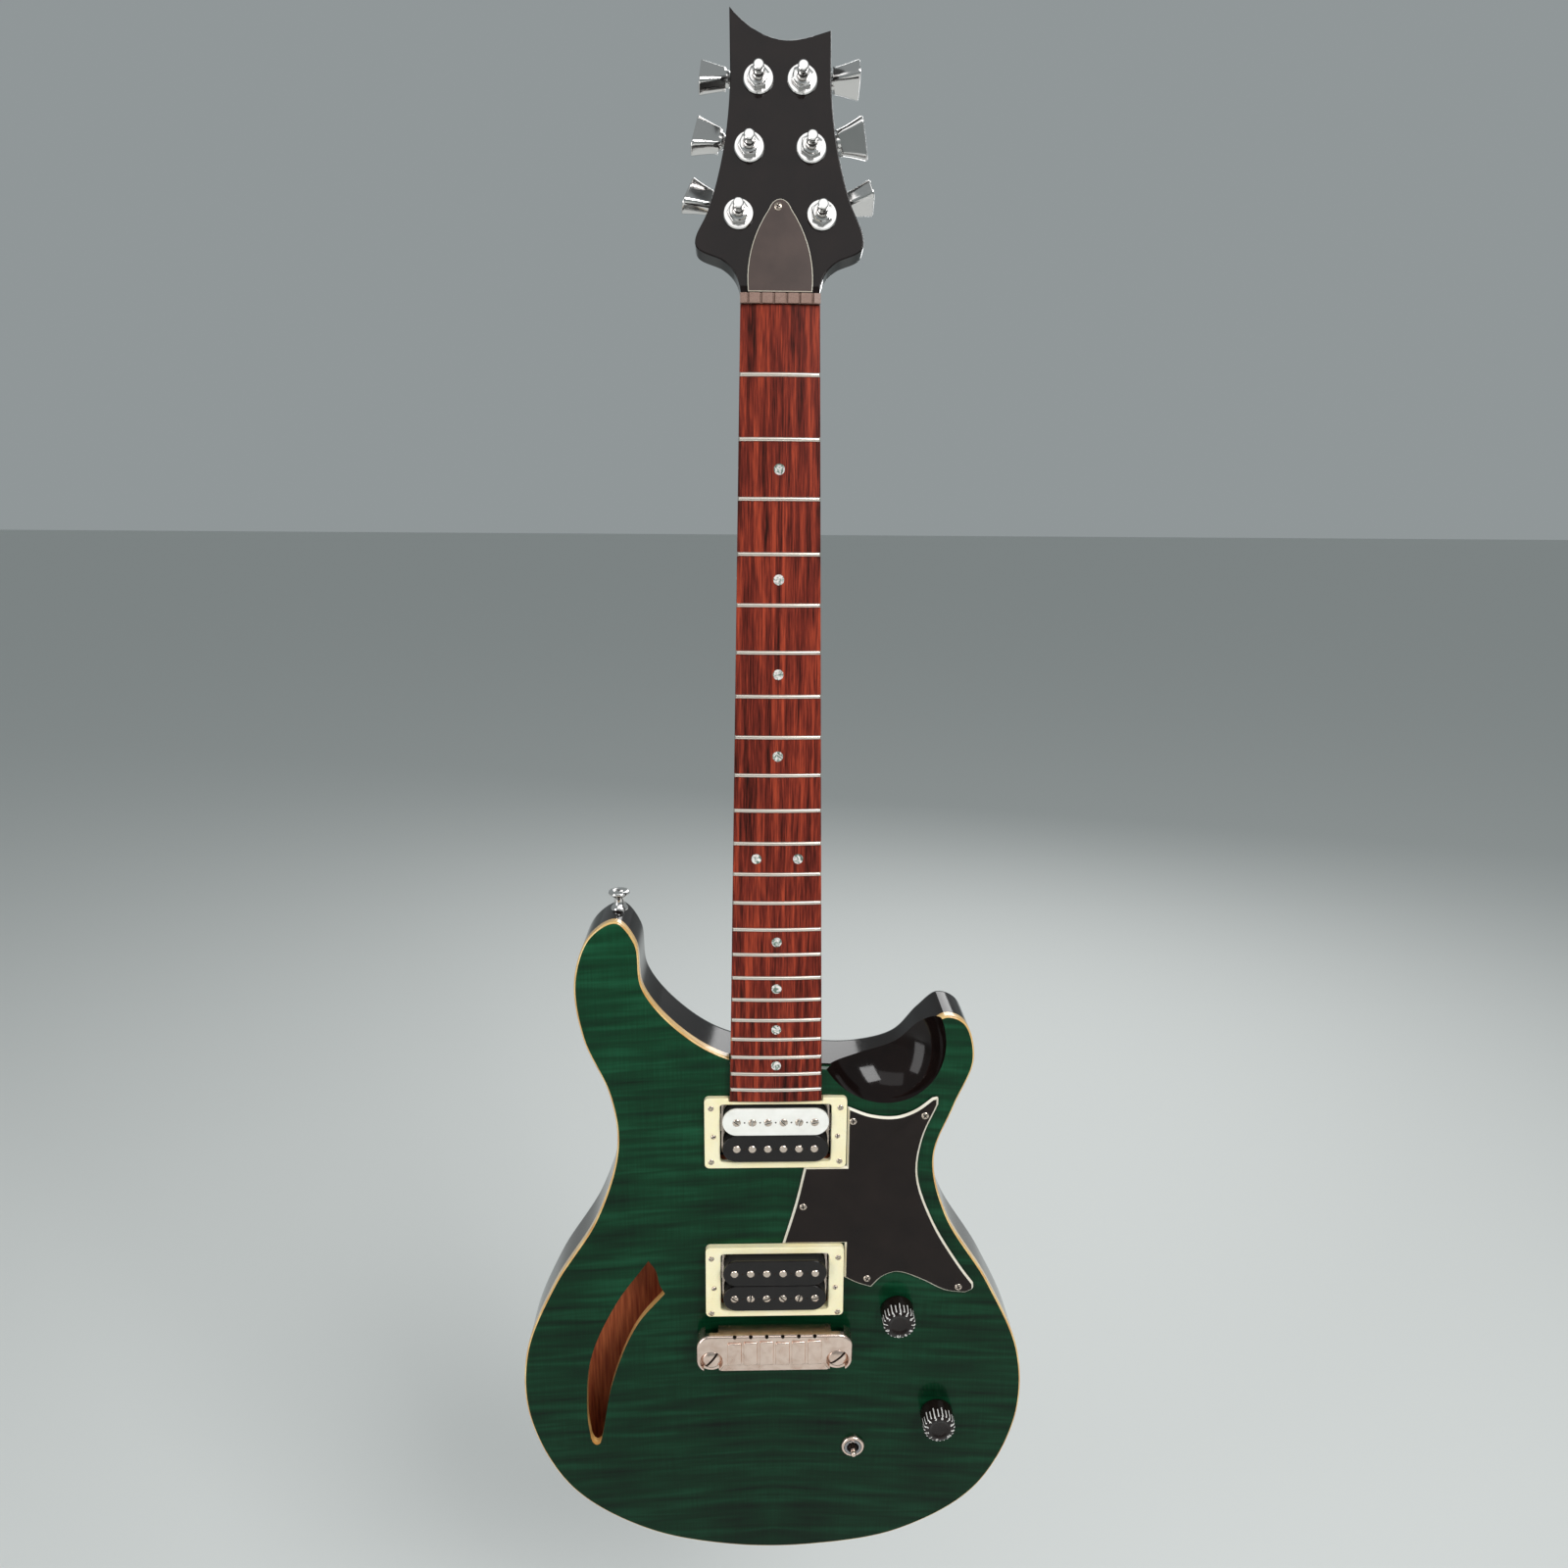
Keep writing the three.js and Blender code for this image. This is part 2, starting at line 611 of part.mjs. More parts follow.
function makeBack() {
  const front = BOTTOM_OF_CAP + 0.1;
  const blank = softPlate(shapeOf(BODY_LINE), front - BACK_RADIUS, BACK_Y, BACK_RADIUS, 2);
  const faced = cut(blank, block([-300, front - 60, -1000], [300, front, 0]));
  const stud = (x) => peg(5.8, front - 1, TOP_Y + 20, x, at(STUD_STATION));
  const seatX = SIDE_X - JACK.seat;
  return cut(
    faced,
    scoop,
    pocket,
    plate(shapeOf(CHAMBER_LINE), front - 1, CHAMBER_BACK),
    plate(shapeOf(CONTROL_LINE), front - 1, BACK_Y + 1),
    plate(shapeOf(inset(CONTROL_LINE, -COVER_REBATE)), BACK_Y - COVER_THICKNESS - GAP, BACK_Y + 1),
    pickupCavity(PICKUPS.neck, front - 1, TOP_Y + 24),
    pickupCavity(PICKUPS.bridge, front - 1, TOP_Y + 24),
    stud(-STUD_X),
    stud(STUD_X),
    sidePeg(JACK.hole, 120, 180),
    block(
      [seatX, -JACK.plateWidth / 2 - 1, at(JACK_STATION) - 21],
      [180, JACK.plateWidth / 2 + 1, at(JACK_STATION) + 21],
    ),
  );
}

place('body_back', makeBack(), BLACK_LACQUER);

// The pale strip let into the edge of the top. It stops each side of the neck and the scoop.
function makeBinding() {
  const far = BOTTOM_OF_CAP - 0.1;
  const blank = softPlate(shapeOf(BODY_LINE), TOP_Y, far + EDGE_RADIUS, EDGE_RADIUS, 2);
  const inside = plate(shapeOf(inset(BODY_LINE, BINDING_WIDTH)), TOP_Y - 5, far + 5);
  const beyond = block([-300, far, -1000], [300, far + 60, 0]);
  const neckGap = block([-28.9, TOP_Y - 5, at(470)], [60, far + 5, at(380)]);
  return cut(blank, inside, beyond, neckGap, scoop);
}

place('top_binding', makeBinding(), PLAIN_MAPLE);

const coverShape = shapeOf(inset(CONTROL_LINE, -COVER_REBATE + GAP));
place('control_cover', plate(coverShape, BACK_Y - COVER_THICKNESS, BACK_Y), BLACK_PLASTIC);

// ---------------------------------------------------------------- pickguard

// Flat guard on the treble side, cut round the corners of both pickup rings.
function pickguardShape() {
  const line = (pairs) => pairs.map(([x, station]) => new THREE.Vector2(x, at(station)));
  const edge = RING_WIDTH / 2 + 2 * GAP;
  const neckLow = PICKUPS.neck.station + RING_HEIGHT / 2 + 2 * GAP;
  const bridgeHigh = PICKUPS.bridge.station - RING_HEIGHT / 2 - 2 * GAP;
  const shape = new THREE.Shape();
  shape.moveTo(edge, at(471));
  shape.splineThru(line([[60, 476.8], [76, 478], [88, 473.6], [98.5, 465.3]]));
  shape.splineThru(line([[101.8, 465], [102.3, 470]]));
  shape.splineThru(line([[93.3, 494], [91, 520], [102.4, 554], [121, 586.5], [130.5, 600]]));
  shape.splineThru(line([[130.5, 604.5], [125.5, 607.5]]));
  shape.splineThru(line([[112, 605.5], [96, 597], [80, 591.2], [70.5, 594.6], [63.2, 602.4]]));
  shape.splineThru(line([[54, 599.2], [edge, 594.5]]));
  shape.lineTo(edge, at(bridgeHigh));
  shape.lineTo(5, at(bridgeHigh));
  shape.splineThru(line([[13, 539.5], [18.6, neckLow]]));
  shape.lineTo(edge, at(neckLow));
  return shape;
}

const GUARD_THICKNESS = 2.4;
place('pickguard', plate(pickguardShape(), TOP_Y - GUARD_THICKNESS - 0.1, TOP_Y - 0.1), BLACK_PLASTIC);

// ---------------------------------------------------------------- pickups

function makeRing(pickup) {
  const [upper, lower] = pickup.ringFront;
  const shape = roundedRectangle(RING_WIDTH, RING_HEIGHT, 3, 0, at(pickup.station));
  shape.holes.push(roundedRectangle(...RING_OPENING, 2, 0, at(pickup.station)));
  const ring = plate(shape, TOP_Y - lower - 0.1, TOP_Y - 0.1);
  const slope = (lower - upper) / RING_HEIGHT;
  const wedge = new THREE.BoxGeometry(RING_WIDTH + 10, 20, RING_HEIGHT + 20);
  wedge.rotateX(Math.atan(slope));
  wedge.translate(0, TOP_Y - (upper + lower) / 2 - 10.1 / Math.cos(Math.atan(slope)), at(pickup.station));
  return slope > 0 ? cut(ring, solid(wedge)) : ring;
}

function stadium(length, width, centreX, centreZ) {
  return roundedRectangle(length, width, width / 2 - 0.01, centreX, centreZ);
}

// Bobbin and winding, taped round so that their sides are flush.
function makeBobbin(centreZ, top) {
  const front = TOP_Y - top;
  return plate(stadium(BOBBIN.length, BOBBIN.width, 0, centreZ), front, front + BOBBIN.height);
}

// Tray under the bobbins. At each end a leg is bent down and then out to an ear for the height screw.
function makeBaseplate(pickup) {
  const z = at(pickup.station);
  const near = TOP_Y - pickup.top + BOBBIN.height + GAP;
  const { sheet, tray, legDrop, earHalf, earEnd, screwX } = BASEPLATE;
  const far = near + legDrop + sheet;
  const legX = tray[0] / 2 - sheet;
  const pieces = [plate(roundedRectangle(...tray, 1.5, 0, z), near, near + sheet)];
  for (const side of [-1, 1]) {
    const spanning = (a, b) => [Math.min(side * a, side * b), Math.max(side * a, side * b)];
    const [legLow, legHigh] = spanning(legX, tray[0] / 2);
    const [earLow, earHigh] = spanning(legX, earEnd);
    pieces.push(block([legLow, near, z - earHalf], [legHigh, far, z + earHalf]));
    pieces.push(cut(
      block([earLow, far - sheet, z - earHalf], [earHigh, far, z + earHalf]),
      peg(1.3, far - 4, far + 2, side * screwX, z, 8),
    ));
  }
  return join(...pieces);
}

for (const [name, pickup] of Object.entries(PICKUPS)) {
  const z = at(pickup.station);
  // The ring of the neck pickup is notched where the fingerboard's end reaches over it.
  const notch = block([-29.5, TOP_Y - 10, z + RING_HEIGHT / 2 - 2.6], [29.5, TOP_Y - 0.3, z + 40]);
  const ring = makeRing(pickup);
  const upperMaterial = name === 'neck' ? WHITE_PLASTIC : BLACK_PLASTIC;
  place(`${name}_pickup_ring`, name === 'neck' ? cut(ring, notch) : ring, CREAM_PLASTIC);
  place(`${name}_pickup_baseplate`, makeBaseplate(pickup), NICKEL);
  place(`${name}_pickup_bobbin_upper`, makeBobbin(z + BOBBIN.pitch / 2 + 0.3, pickup.top), upperMaterial);
  place(`${name}_pickup_bobbin_lower`, makeBobbin(z - BOBBIN.pitch / 2 + 0.3, pickup.top), BLACK_PLASTIC);
}

// ---------------------------------------------------------------- bridge and its studs

const STUD_HEAD = { radius: 6.9, front: 15.6, under: 12.3 };

function makeBridge() {
  const z = at(BRIDGE_STATION);
  const front = TOP_Y - BRIDGE_FRONT;
  const under = TOP_Y - BRIDGE_UNDER;
  const bar = softPlate(roundedRectangle(101.4, 22.6, 9, 0, z), front, under, 1.4, 1);
  const apron = softPlate(roundedRectangle(74, 16, 3, 0, at(649)), front + 3.5, under, 1, 1);
  const ridges = [];
  for (let i = 0; i < STRINGS; i += 1) {
    // The bass ridges stand further back for intonation.
    const x = (i - (STRINGS - 1) / 2) * 10.4;
    const step = (STRINGS - 1 - i) * 0.55 + (i < 3 ? 0 : 1.4);
    ridges.push(block([x - 5.25, front - 1.4, at(632.4 + step)], [x + 5.25, front + 2, at(629.6 + step)]));
  }
  const cuts = [];
  for (const x of [-STUD_X, STUD_X]) {
    const studZ = at(STUD_STATION);
    cuts.push(peg(STUD_HEAD.radius + 0.6, front - 2, TOP_Y - STUD_HEAD.under + GAP, x, studZ, ROUNDER));
    cuts.push(peg(4.3, front - 2, under + 1, x, studZ));
    cuts.push(block([x - 4.3, TOP_Y - STUD_HEAD.under + GAP, studZ], [x + 4.3, under + 1, at(620)]));
  }
  return cut(join(bar, apron, ...ridges), ...cuts);
}

place('bridge', makeBridge(), NICKEL);

function makeStud() {
  const { radius, front, under } = STUD_HEAD;
  const collar = GAP - BRIDGE_UNDER;
  const stud = turned([
    [0, -front], [radius, -front], [radius, -under], [3.9, -under], [3.9, collar], [7, collar],
    [7, -3.2], [3.95, -3.2], [3.95, 14], [0, 14],
  ]);
  const slot = block([-8, -front - 1, -0.8], [8, -front + 1.6, 0.8]);
  return cut(stud, slot);
}

for (const [sideName, x] of [['bass', -STUD_X], ['treble', STUD_X]]) {
  const stud = place(`bridge_stud_${sideName}`, makeStud(), NICKEL);
  stud.position.set(x, TOP_Y, at(STUD_STATION));
  stud.rotation.y = x < 0 ? -0.9 : -0.7;
  const insert = turned([[4.3, 0], [4.3, 18], [5.5, 18], [5.5, 0], [4.3, 0]]);
  place(`stud_insert_${sideName}`, insert, STEEL).position.copy(stud.position);
}

// ---------------------------------------------------------------- controls

const POT = { shaft: 3, bushing: 4.7, collar: 3.4, case: 12, depth: 9 };

// Case and threaded bushing, bored for the shaft, which the case carries on its floor.
function makePot() {
  const face = CAP_THICKNESS + 2 * GAP;
  return turned([
    [POT.shaft + GAP, -POT.collar], [POT.bushing, -POT.collar], [POT.bushing, face], [POT.case, face],
    [POT.case, face + POT.depth], [0, face + POT.depth], [0, face + 6.5], [POT.shaft + GAP, face + 6.5],
    [POT.shaft + GAP, -POT.collar],
  ]);
}

function makeShaft() {
  const front = -KNOB.lift - 11;
  const back = CAP_THICKNESS + 6;
  return turned([[0, front], [POT.shaft, front], [POT.shaft, back], [0, back]]);
}

// Barrel knob, hollow over the bushing and bored for the shaft.
function makeKnob() {
  const foot = -KNOB.lift;
  const face = foot - KNOB.height;
  return turned([
    [0, face], [KNOB.top - 0.8, face], [KNOB.top, face + 0.8], [KNOB.base, foot - 1.2], [KNOB.base, foot],
    [6.2, foot], [6.2, foot - 5], [POT.shaft + 0.15, foot - 5], [POT.shaft + 0.15, foot - 11.6],
    [0, foot - 11.6],
  ], ROUNDER);
}

for (const [name, [x, station]] of [['volume', VOLUME_AT], ['tone', TONE_AT]]) {
  for (const [piece, body, material] of [
    ['pot', makePot(), STEEL], ['shaft', makeShaft(), BRASS], ['knob', makeKnob(), BLACK_PLASTIC],
  ]) {
    place(`${name}_${piece}`, body, material).position.set(x, TOP_Y, at(station));
  }
}

const TOGGLE = { bushing: 5.9, bore: 4.3, collar: 2.6, pivot: 6, leverRadius: 1.9, reach: 9.5 };

function makeToggleSwitch() {
  const face = CAP_THICKNESS + 2 * GAP;
  const frame = block([-7, face, -16], [7, face + 20, 16]);
  const slotInside = block([-5, face + 2, -14], [5, face + 30, 14]);
  const bushing = peg(TOGGLE.bushing, -TOGGLE.collar, face + 1);
  const bore = peg(TOGGLE.bore, -TOGGLE.collar - 1, face + 3);
  return cut(join(frame, bushing), slotInside, bore);
}

// Short bat lever with the ball it rocks on and the tongue that works the leaves.
function makeLever() {
  return turned([
    [0, -TOGGLE.reach], [1.5, -TOGGLE.reach], [TOGGLE.leverRadius, -2], [1.5, TOGGLE.pivot - 3],
    [3.4, TOGGLE.pivot - 1], [3.4, TOGGLE.pivot + 1], [1.3, TOGGLE.pivot + 3], [1.3, TOGGLE.pivot + 8],
    [0, TOGGLE.pivot + 8],
  ], 10);
}

function makeDressNut() {
  const bore = TOGGLE.bushing + 0.15;
  return turned([[bore, -2.4], [bore, -GAP], [7.8, -GAP], [7.8, -2.4], [bore, -2.4]], ROUNDER);
}

for (const [piece, body, material] of [
  ['toggle_switch', makeToggleSwitch(), STEEL],
  ['toggle_nut', makeDressNut(), NICKEL],
  ['toggle_lever', makeLever(), NICKEL],
]) {
  place(piece, body, material).position.set(TOGGLE_AT[0], TOP_Y, at(TOGGLE_AT[1]));
}

// ---------------------------------------------------------------- output jack

const SOCKET = { bore: 3.3, radius: 5.4, length: 27, collar: 1.2 };

function makeJackPlate() {
  const shape = roundedRectangle(JACK.plateLength, JACK.plateWidth, JACK.plateWidth / 2 - 0.5);
  const geometry = new THREE.ExtrudeGeometry(shape, {
    depth: JACK.plateThickness, bevelEnabled: false, curveSegments: 4,
  });
  // The drawing's length stands upright and its thickness runs out of the side.
  geometry.applyMatrix4(new THREE.Matrix4().makeBasis(
    new THREE.Vector3(0, 0, 1), new THREE.Vector3(0, 1, 0).negate(), new THREE.Vector3(1, 0, 0),
  ));
  geometry.translate(SIDE_X - JACK.seat + GAP, 0, at(JACK_STATION));
  return cut(solid(geometry), sidePeg(SOCKET.radius - 1 + GAP, 150, 180));
}

function makeJackSocket() {
  const face = SIDE_X - JACK.seat + GAP + JACK.plateThickness;
  const behind = SIDE_X - JACK.seat - SOCKET.length;
  const barrel = sidePeg(SOCKET.radius, behind, SIDE_X - JACK.seat);
  const neck = sidePeg(SOCKET.radius - 1, behind, face + SOCKET.collar);
  return cut(join(barrel, neck), sidePeg(SOCKET.bore, behind - 5, face + 5));
}

place('jack_plate', makeJackPlate(), CHROME);
place('jack_socket', makeJackSocket(), CHROME);

// ---------------------------------------------------------------- strap buttons

// Turned about the front-to-back axis, then stood on the edge of the body.
function makeStrapButton() {
  return turned([
    [0, 0], [5.2, 0], [5.2, 1.6], [3.2, 3.2], [3.2, 8], [6.6, 9.6], [6.6, 12.2], [0, 12.2],
  ], ROUNDER);
}

const hornButton = place('strap_button_horn', makeStrapButton(), CHROME);
hornButton.position.set(HORN_BUTTON_X, 0, at(HORN_BUTTON_STATION));
hornButton.rotation.x = Math.PI / 2;
const endButton = place('strap_button_end', makeStrapButton(), CHROME);
endButton.position.set(0, 0, at(END_STATION));
endButton.rotation.x = -Math.PI / 2;

export default guitar;
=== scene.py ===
import json
import math

import bmesh
import bpy
from mathutils import Euler, Matrix, Vector


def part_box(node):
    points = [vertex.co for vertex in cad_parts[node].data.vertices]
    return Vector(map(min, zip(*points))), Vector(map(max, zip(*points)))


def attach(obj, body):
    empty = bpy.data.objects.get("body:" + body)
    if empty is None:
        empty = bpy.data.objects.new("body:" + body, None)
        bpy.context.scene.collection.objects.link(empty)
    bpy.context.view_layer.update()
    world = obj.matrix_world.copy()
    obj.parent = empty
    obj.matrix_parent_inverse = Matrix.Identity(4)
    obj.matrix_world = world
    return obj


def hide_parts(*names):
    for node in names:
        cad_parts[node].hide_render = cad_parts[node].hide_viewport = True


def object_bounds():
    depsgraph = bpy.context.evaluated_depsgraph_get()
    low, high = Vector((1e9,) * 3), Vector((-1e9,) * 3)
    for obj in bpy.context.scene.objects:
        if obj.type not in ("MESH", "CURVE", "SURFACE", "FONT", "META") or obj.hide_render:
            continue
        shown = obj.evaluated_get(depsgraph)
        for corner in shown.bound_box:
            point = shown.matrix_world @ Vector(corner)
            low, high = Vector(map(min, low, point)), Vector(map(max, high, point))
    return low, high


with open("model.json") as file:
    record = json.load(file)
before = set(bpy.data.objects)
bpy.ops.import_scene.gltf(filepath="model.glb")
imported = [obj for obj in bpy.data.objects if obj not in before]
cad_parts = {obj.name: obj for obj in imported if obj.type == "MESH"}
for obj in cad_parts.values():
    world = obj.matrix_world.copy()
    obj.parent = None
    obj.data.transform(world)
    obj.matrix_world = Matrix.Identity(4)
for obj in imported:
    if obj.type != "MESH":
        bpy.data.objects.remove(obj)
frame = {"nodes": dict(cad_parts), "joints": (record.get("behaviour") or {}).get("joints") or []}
cad_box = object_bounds()


# ---------------------------------------------------------------- body back
# The body is a mahogany slab, rounded over at the back and hollowed behind the sound hole, with
# pockets routed for pickups and controls. Black gloss lacquer covers it, sprayed, cut and buffed.

MM = 0.001
NUT_Z = -27.6
TOP_Y = -22.0
BACK_Y = 22.0
CAP_THICKNESS = 6.0
BODY_SPACE = Matrix.Scale(MM, 4)


def at(station):
    """The height of a place that lies `station` mm down the instrument from the nut."""
    return NUT_Z - station


def smooth_line(knots, per_knot, closed=True):
    """[x, z] points on a centripetal Catmull-Rom line through [x, z] knots."""
    points = [Vector(knot) for knot in knots]
    count = len(points)
    line = []
    for i in range(count if closed else count - 1):
        if closed:
            a, b, c, d = (points[(i + k) % count] for k in (-1, 0, 1, 2))
        else:
            b, c = points[i], points[i + 1]
            a = points[i - 1] if i > 0 else 2 * b - c
            d = points[i + 2] if i + 2 < count else 2 * c - b
        before, between, after = ((q - p).length ** 0.5 for p, q in ((a, b), (b, c), (c, d)))
        leave = ((b - a) / before - (c - a) / (before + between) + (c - b) / between) * between
        arrive = ((c - b) / between - (d - b) / (between + after) + (d - c) / after) * between
        for step in range(per_knot):
            t = step / per_knot
            line.append(
                b * (2 * t**3 - 3 * t**2 + 1) + leave * (t**3 - 2 * t**2 + t)
                + c * (3 * t**2 - 2 * t**3) + arrive * (t**3 - t**2)
            )
    if not closed:
        line.append(points[-1])
    return line


def on_stations(pairs):
    """[x, station] pairs as [x, z] points."""
    return [(x, at(station)) for x, station in pairs]


def moved_in(line, distance):
    """A closed line moved towards its inside."""
    area = sum(p.x * q.y - q.x * p.y for p, q in zip(line, line[1:] + line[:1]))
    side = 1 if area > 0 else -1
    result = []
    for i, point in enumerate(line):
        along = (line[(i + 1) % len(line)] - line[i - 1]).normalized()
        result.append(point + Vector((-along.y, along.x)) * distance * side)
    return result


def prism(line, near, far, steps=1):
    """A bmesh of a closed line filled at depth `near` and pushed back to depth `far`."""
    bm = bmesh.new()
    face = bm.faces.new([bm.verts.new((x, near, z)) for x, z in line])
    for step in range(steps):
        pushed = bmesh.ops.extrude_face_region(bm, geom=[face])["geom"]
        if step:
            bmesh.ops.delete(bm, geom=[face], context="FACES_ONLY")
        face = next(item for item in pushed if isinstance(item, bmesh.types.BMFace))
        bmesh.ops.translate(bm, verts=face.verts[:], vec=(0, (far - near) / steps, 0))
    return bm


def soft_prism(line, near, far, radius, steps):
    """A prism whose rim at `far` is rounded over by insetting the line in steps."""
    bm = prism(line, 0, steps + 1, steps + 1)
    order = {(round(point.x, 3), round(point.y, 3)): i for i, point in enumerate(line)}
    turns = [step / steps * math.pi / 2 for step in range(steps + 1)]
    insets = [line] + [moved_in(line, radius * (1 - math.cos(turn))) for turn in turns]
    side = 1 if far > near else -1
    depths = [near] + [far - side * radius * (1 - math.sin(turn)) for turn in turns]
    for vert in bm.verts:
        ring = round(vert.co.y)
        point = insets[ring][order[round(vert.co.x, 3), round(vert.co.z, 3)]]
        vert.co = (point.x, depths[ring], point.y)
    return bm


def rounded(bm, depth, radius, segments, finish=-1):
    """Rounds the rim of a prism's face at that depth."""
    rim = [
        edge for edge in bm.edges
        if all(abs(v.co.y - depth) < 1e-4 for v in edge.verts)
        and any(abs(face.normal.y) < 0.5 for face in edge.link_faces)
    ]
    return bmesh.ops.bevel(
        bm, geom=rim, offset=radius, offset_type="OFFSET", affect="EDGES", segments=segments,
        profile=0.5, clamp_overlap=False, material=finish,
    )["faces"]


def rounded_box(width, height, radius, centre_x=0.0, centre_z=0.0, steps=6):
    """A rectangle with round corners, as a closed line."""
    line = []
    for corner in range(4):
        middle_x = centre_x + (width / 2 - radius) * (1 if corner in (0, 3) else -1)
        middle_z = centre_z + (height / 2 - radius) * (1 if corner < 2 else -1)
        for step in range(steps + 1):
            turn = (corner + step / steps) * math.pi / 2
            corner_point = (middle_x + radius * math.cos(turn), middle_z + radius * math.sin(turn))
            line.append(Vector(corner_point))
    return line


def spun(profile, segments=48):
    """A solid turned about the front-to-back axis from [radius, depth] pairs.

    The pairs start and end on the axis, or close on themselves, which makes a ring.
    """
    bm = bmesh.new()
    verts = [bm.verts.new((radius, depth, 0)) for radius, depth in profile]
    edges = [bm.edges.new(pair) for pair in zip(verts, verts[1:])]
    bmesh.ops.spin(
        bm, geom=verts + edges, cent=(0, 0, 0), axis=(0, 1, 0), angle=math.tau, steps=segments,
        use_merge=True,
    )
    bmesh.ops.remove_doubles(bm, verts=bm.verts[:], dist=1e-5)
    return bm


def shaped(name, bm, finishes, space=BODY_SPACE, crease=35):
    """Turns a bmesh in millimetres into a piece that stands in its place, in metres."""
    bm.transform(space)
    bmesh.ops.recalc_face_normals(bm, faces=bm.faces[:])
    mesh = bpy.data.meshes.new(name)
    bm.to_mesh(mesh)
    bm.free()
    for finish in finishes:
        mesh.materials.append(finish)
    mesh.shade_smooth()
    mesh.set_sharp_from_angle(angle=math.radians(crease))
    piece = bpy.data.objects.new(name, mesh)
    bpy.context.scene.collection.objects.link(piece)
    return piece


def settled(piece):
    """Applies a piece's modifiers."""
    bpy.context.view_layer.update()
    ready = piece.evaluated_get(bpy.context.evaluated_depsgraph_get())
    mesh = bpy.data.meshes.new_from_object(ready)
    piece.modifiers.clear()
    piece.data = mesh
    return piece


def carved(piece, cutters, operation="DIFFERENCE"):
    """Cuts cutters out of a piece, or joins them to it. The new faces keep the cutters' finishes."""
    for cutter in cutters:
        change = piece.modifiers.new("carve", "BOOLEAN")
        change.operation = operation
        change.solver = "EXACT"
        change.material_mode = "TRANSFER"
        change.object = cutter
    settled(piece)
    for cutter in cutters:
        bpy.data.objects.remove(cutter)
    return piece


def eased(piece, width, segments=2, angle=35):
    """Rounds every sharp edge a little and keeps the flats looking flat."""
    edge = piece.modifiers.new("edge", "BEVEL")
    edge.width = width * MM
    edge.segments = segments
    edge.limit_method = "ANGLE"
    edge.angle_limit = math.radians(angle)
    edge.harden_normals = True
    edge.miter_outer = "MITER_ARC"
    settled(piece)
    return piece


def flattened(piece, crease=35):
    """Weights the normals by face area, so that wide flats stay flat beside their round edges."""
    piece.data.shade_smooth()
    piece.data.set_sharp_from_angle(angle=math.radians(crease))
    weigh = piece.modifiers.new("weigh", "WEIGHTED_NORMAL")
    weigh.keep_sharp = True
    settled(piece)
    return piece


def paint(code):
    """An sRGB hex code as a linear colour."""
    parts = [int(code[i:i + 2], 16) / 255 for i in (1, 3, 5)]
    return (*((p / 12.92) if p <= 0.04045 else ((p + 0.055) / 1.055) ** 2.4 for p in parts), 1.0)


def add(tree, kind, inputs=None, **settings):
    """Adds a shader node with its settings, and sets each input or joins it to a socket."""
    node = tree.nodes.new("ShaderNode" + kind)
    for name, value in settings.items():
        setattr(node, name, value)
    for name, value in (inputs or {}).items():
        if isinstance(value, bpy.types.NodeSocket):
            tree.links.new(value, node.inputs[name])
        else:
            node.inputs[name].default_value = value
    return node


def finish_named(name, **inputs):
    """A material with one shader. Returns it with its tree, the shader and Object coordinates."""
    finish = bpy.data.materials.new(name)
    finish.use_nodes = True
    tree = finish.node_tree
    tree.nodes.clear()
    values = {key.replace("_", " "): value for key, value in inputs.items()}
    shader = add(tree, "BsdfPrincipled", values)
    add(tree, "OutputMaterial", {"Surface": shader.outputs["BSDF"]})
    place = add(tree, "TexCoord").outputs["Object"]
    return finish, tree, shader, place


def drifting(
    name, patch, detail=2.0, colours=None, stops=(0.0, 1.0), gloss=None, relief=None, **inputs,
):
    """A material that varies over patches of `patch` mm, which is one size or a size per axis.

    The colour drifts between two codes at two stops, the roughness drifts between two values in
    `gloss`, and `relief` is the strength and the depth in mm of a bump.
    """
    finish, tree, shader, place = finish_named(name, **inputs)
    scale = 1.0
    if isinstance(patch, tuple):
        sizes = [1 / (size * MM) for size in patch]
        place = add(tree, "Mapping", {"Vector": place, "Scale": sizes}).outputs[0]
    else:
        scale = 1 / (patch * MM)
    drift = add(tree, "TexNoise", {"Vector": place, "Scale": scale, "Detail": detail}).outputs["Fac"]
    if colours:
        tone = add(tree, "ValToRGB", {"Fac": drift})
        for element, stop, code in zip(tone.color_ramp.elements, stops, colours):
            element.position, element.color = stop, paint(code)
        tree.links.new(tone.outputs["Color"], shader.inputs["Base Color"])
    if gloss:
        dull = add(tree, "MapRange", {"Value": drift, "To Min": gloss[0], "To Max": gloss[1]})
        tree.links.new(dull.outputs[0], shader.inputs["Roughness"])
    if relief:
        bump = add(tree, "Bump", {"Strength": relief[0], "Distance": relief[1] * MM, "Height": drift})
        tree.links.new(bump.outputs["Normal"], shader.inputs["Normal"])
    return finish


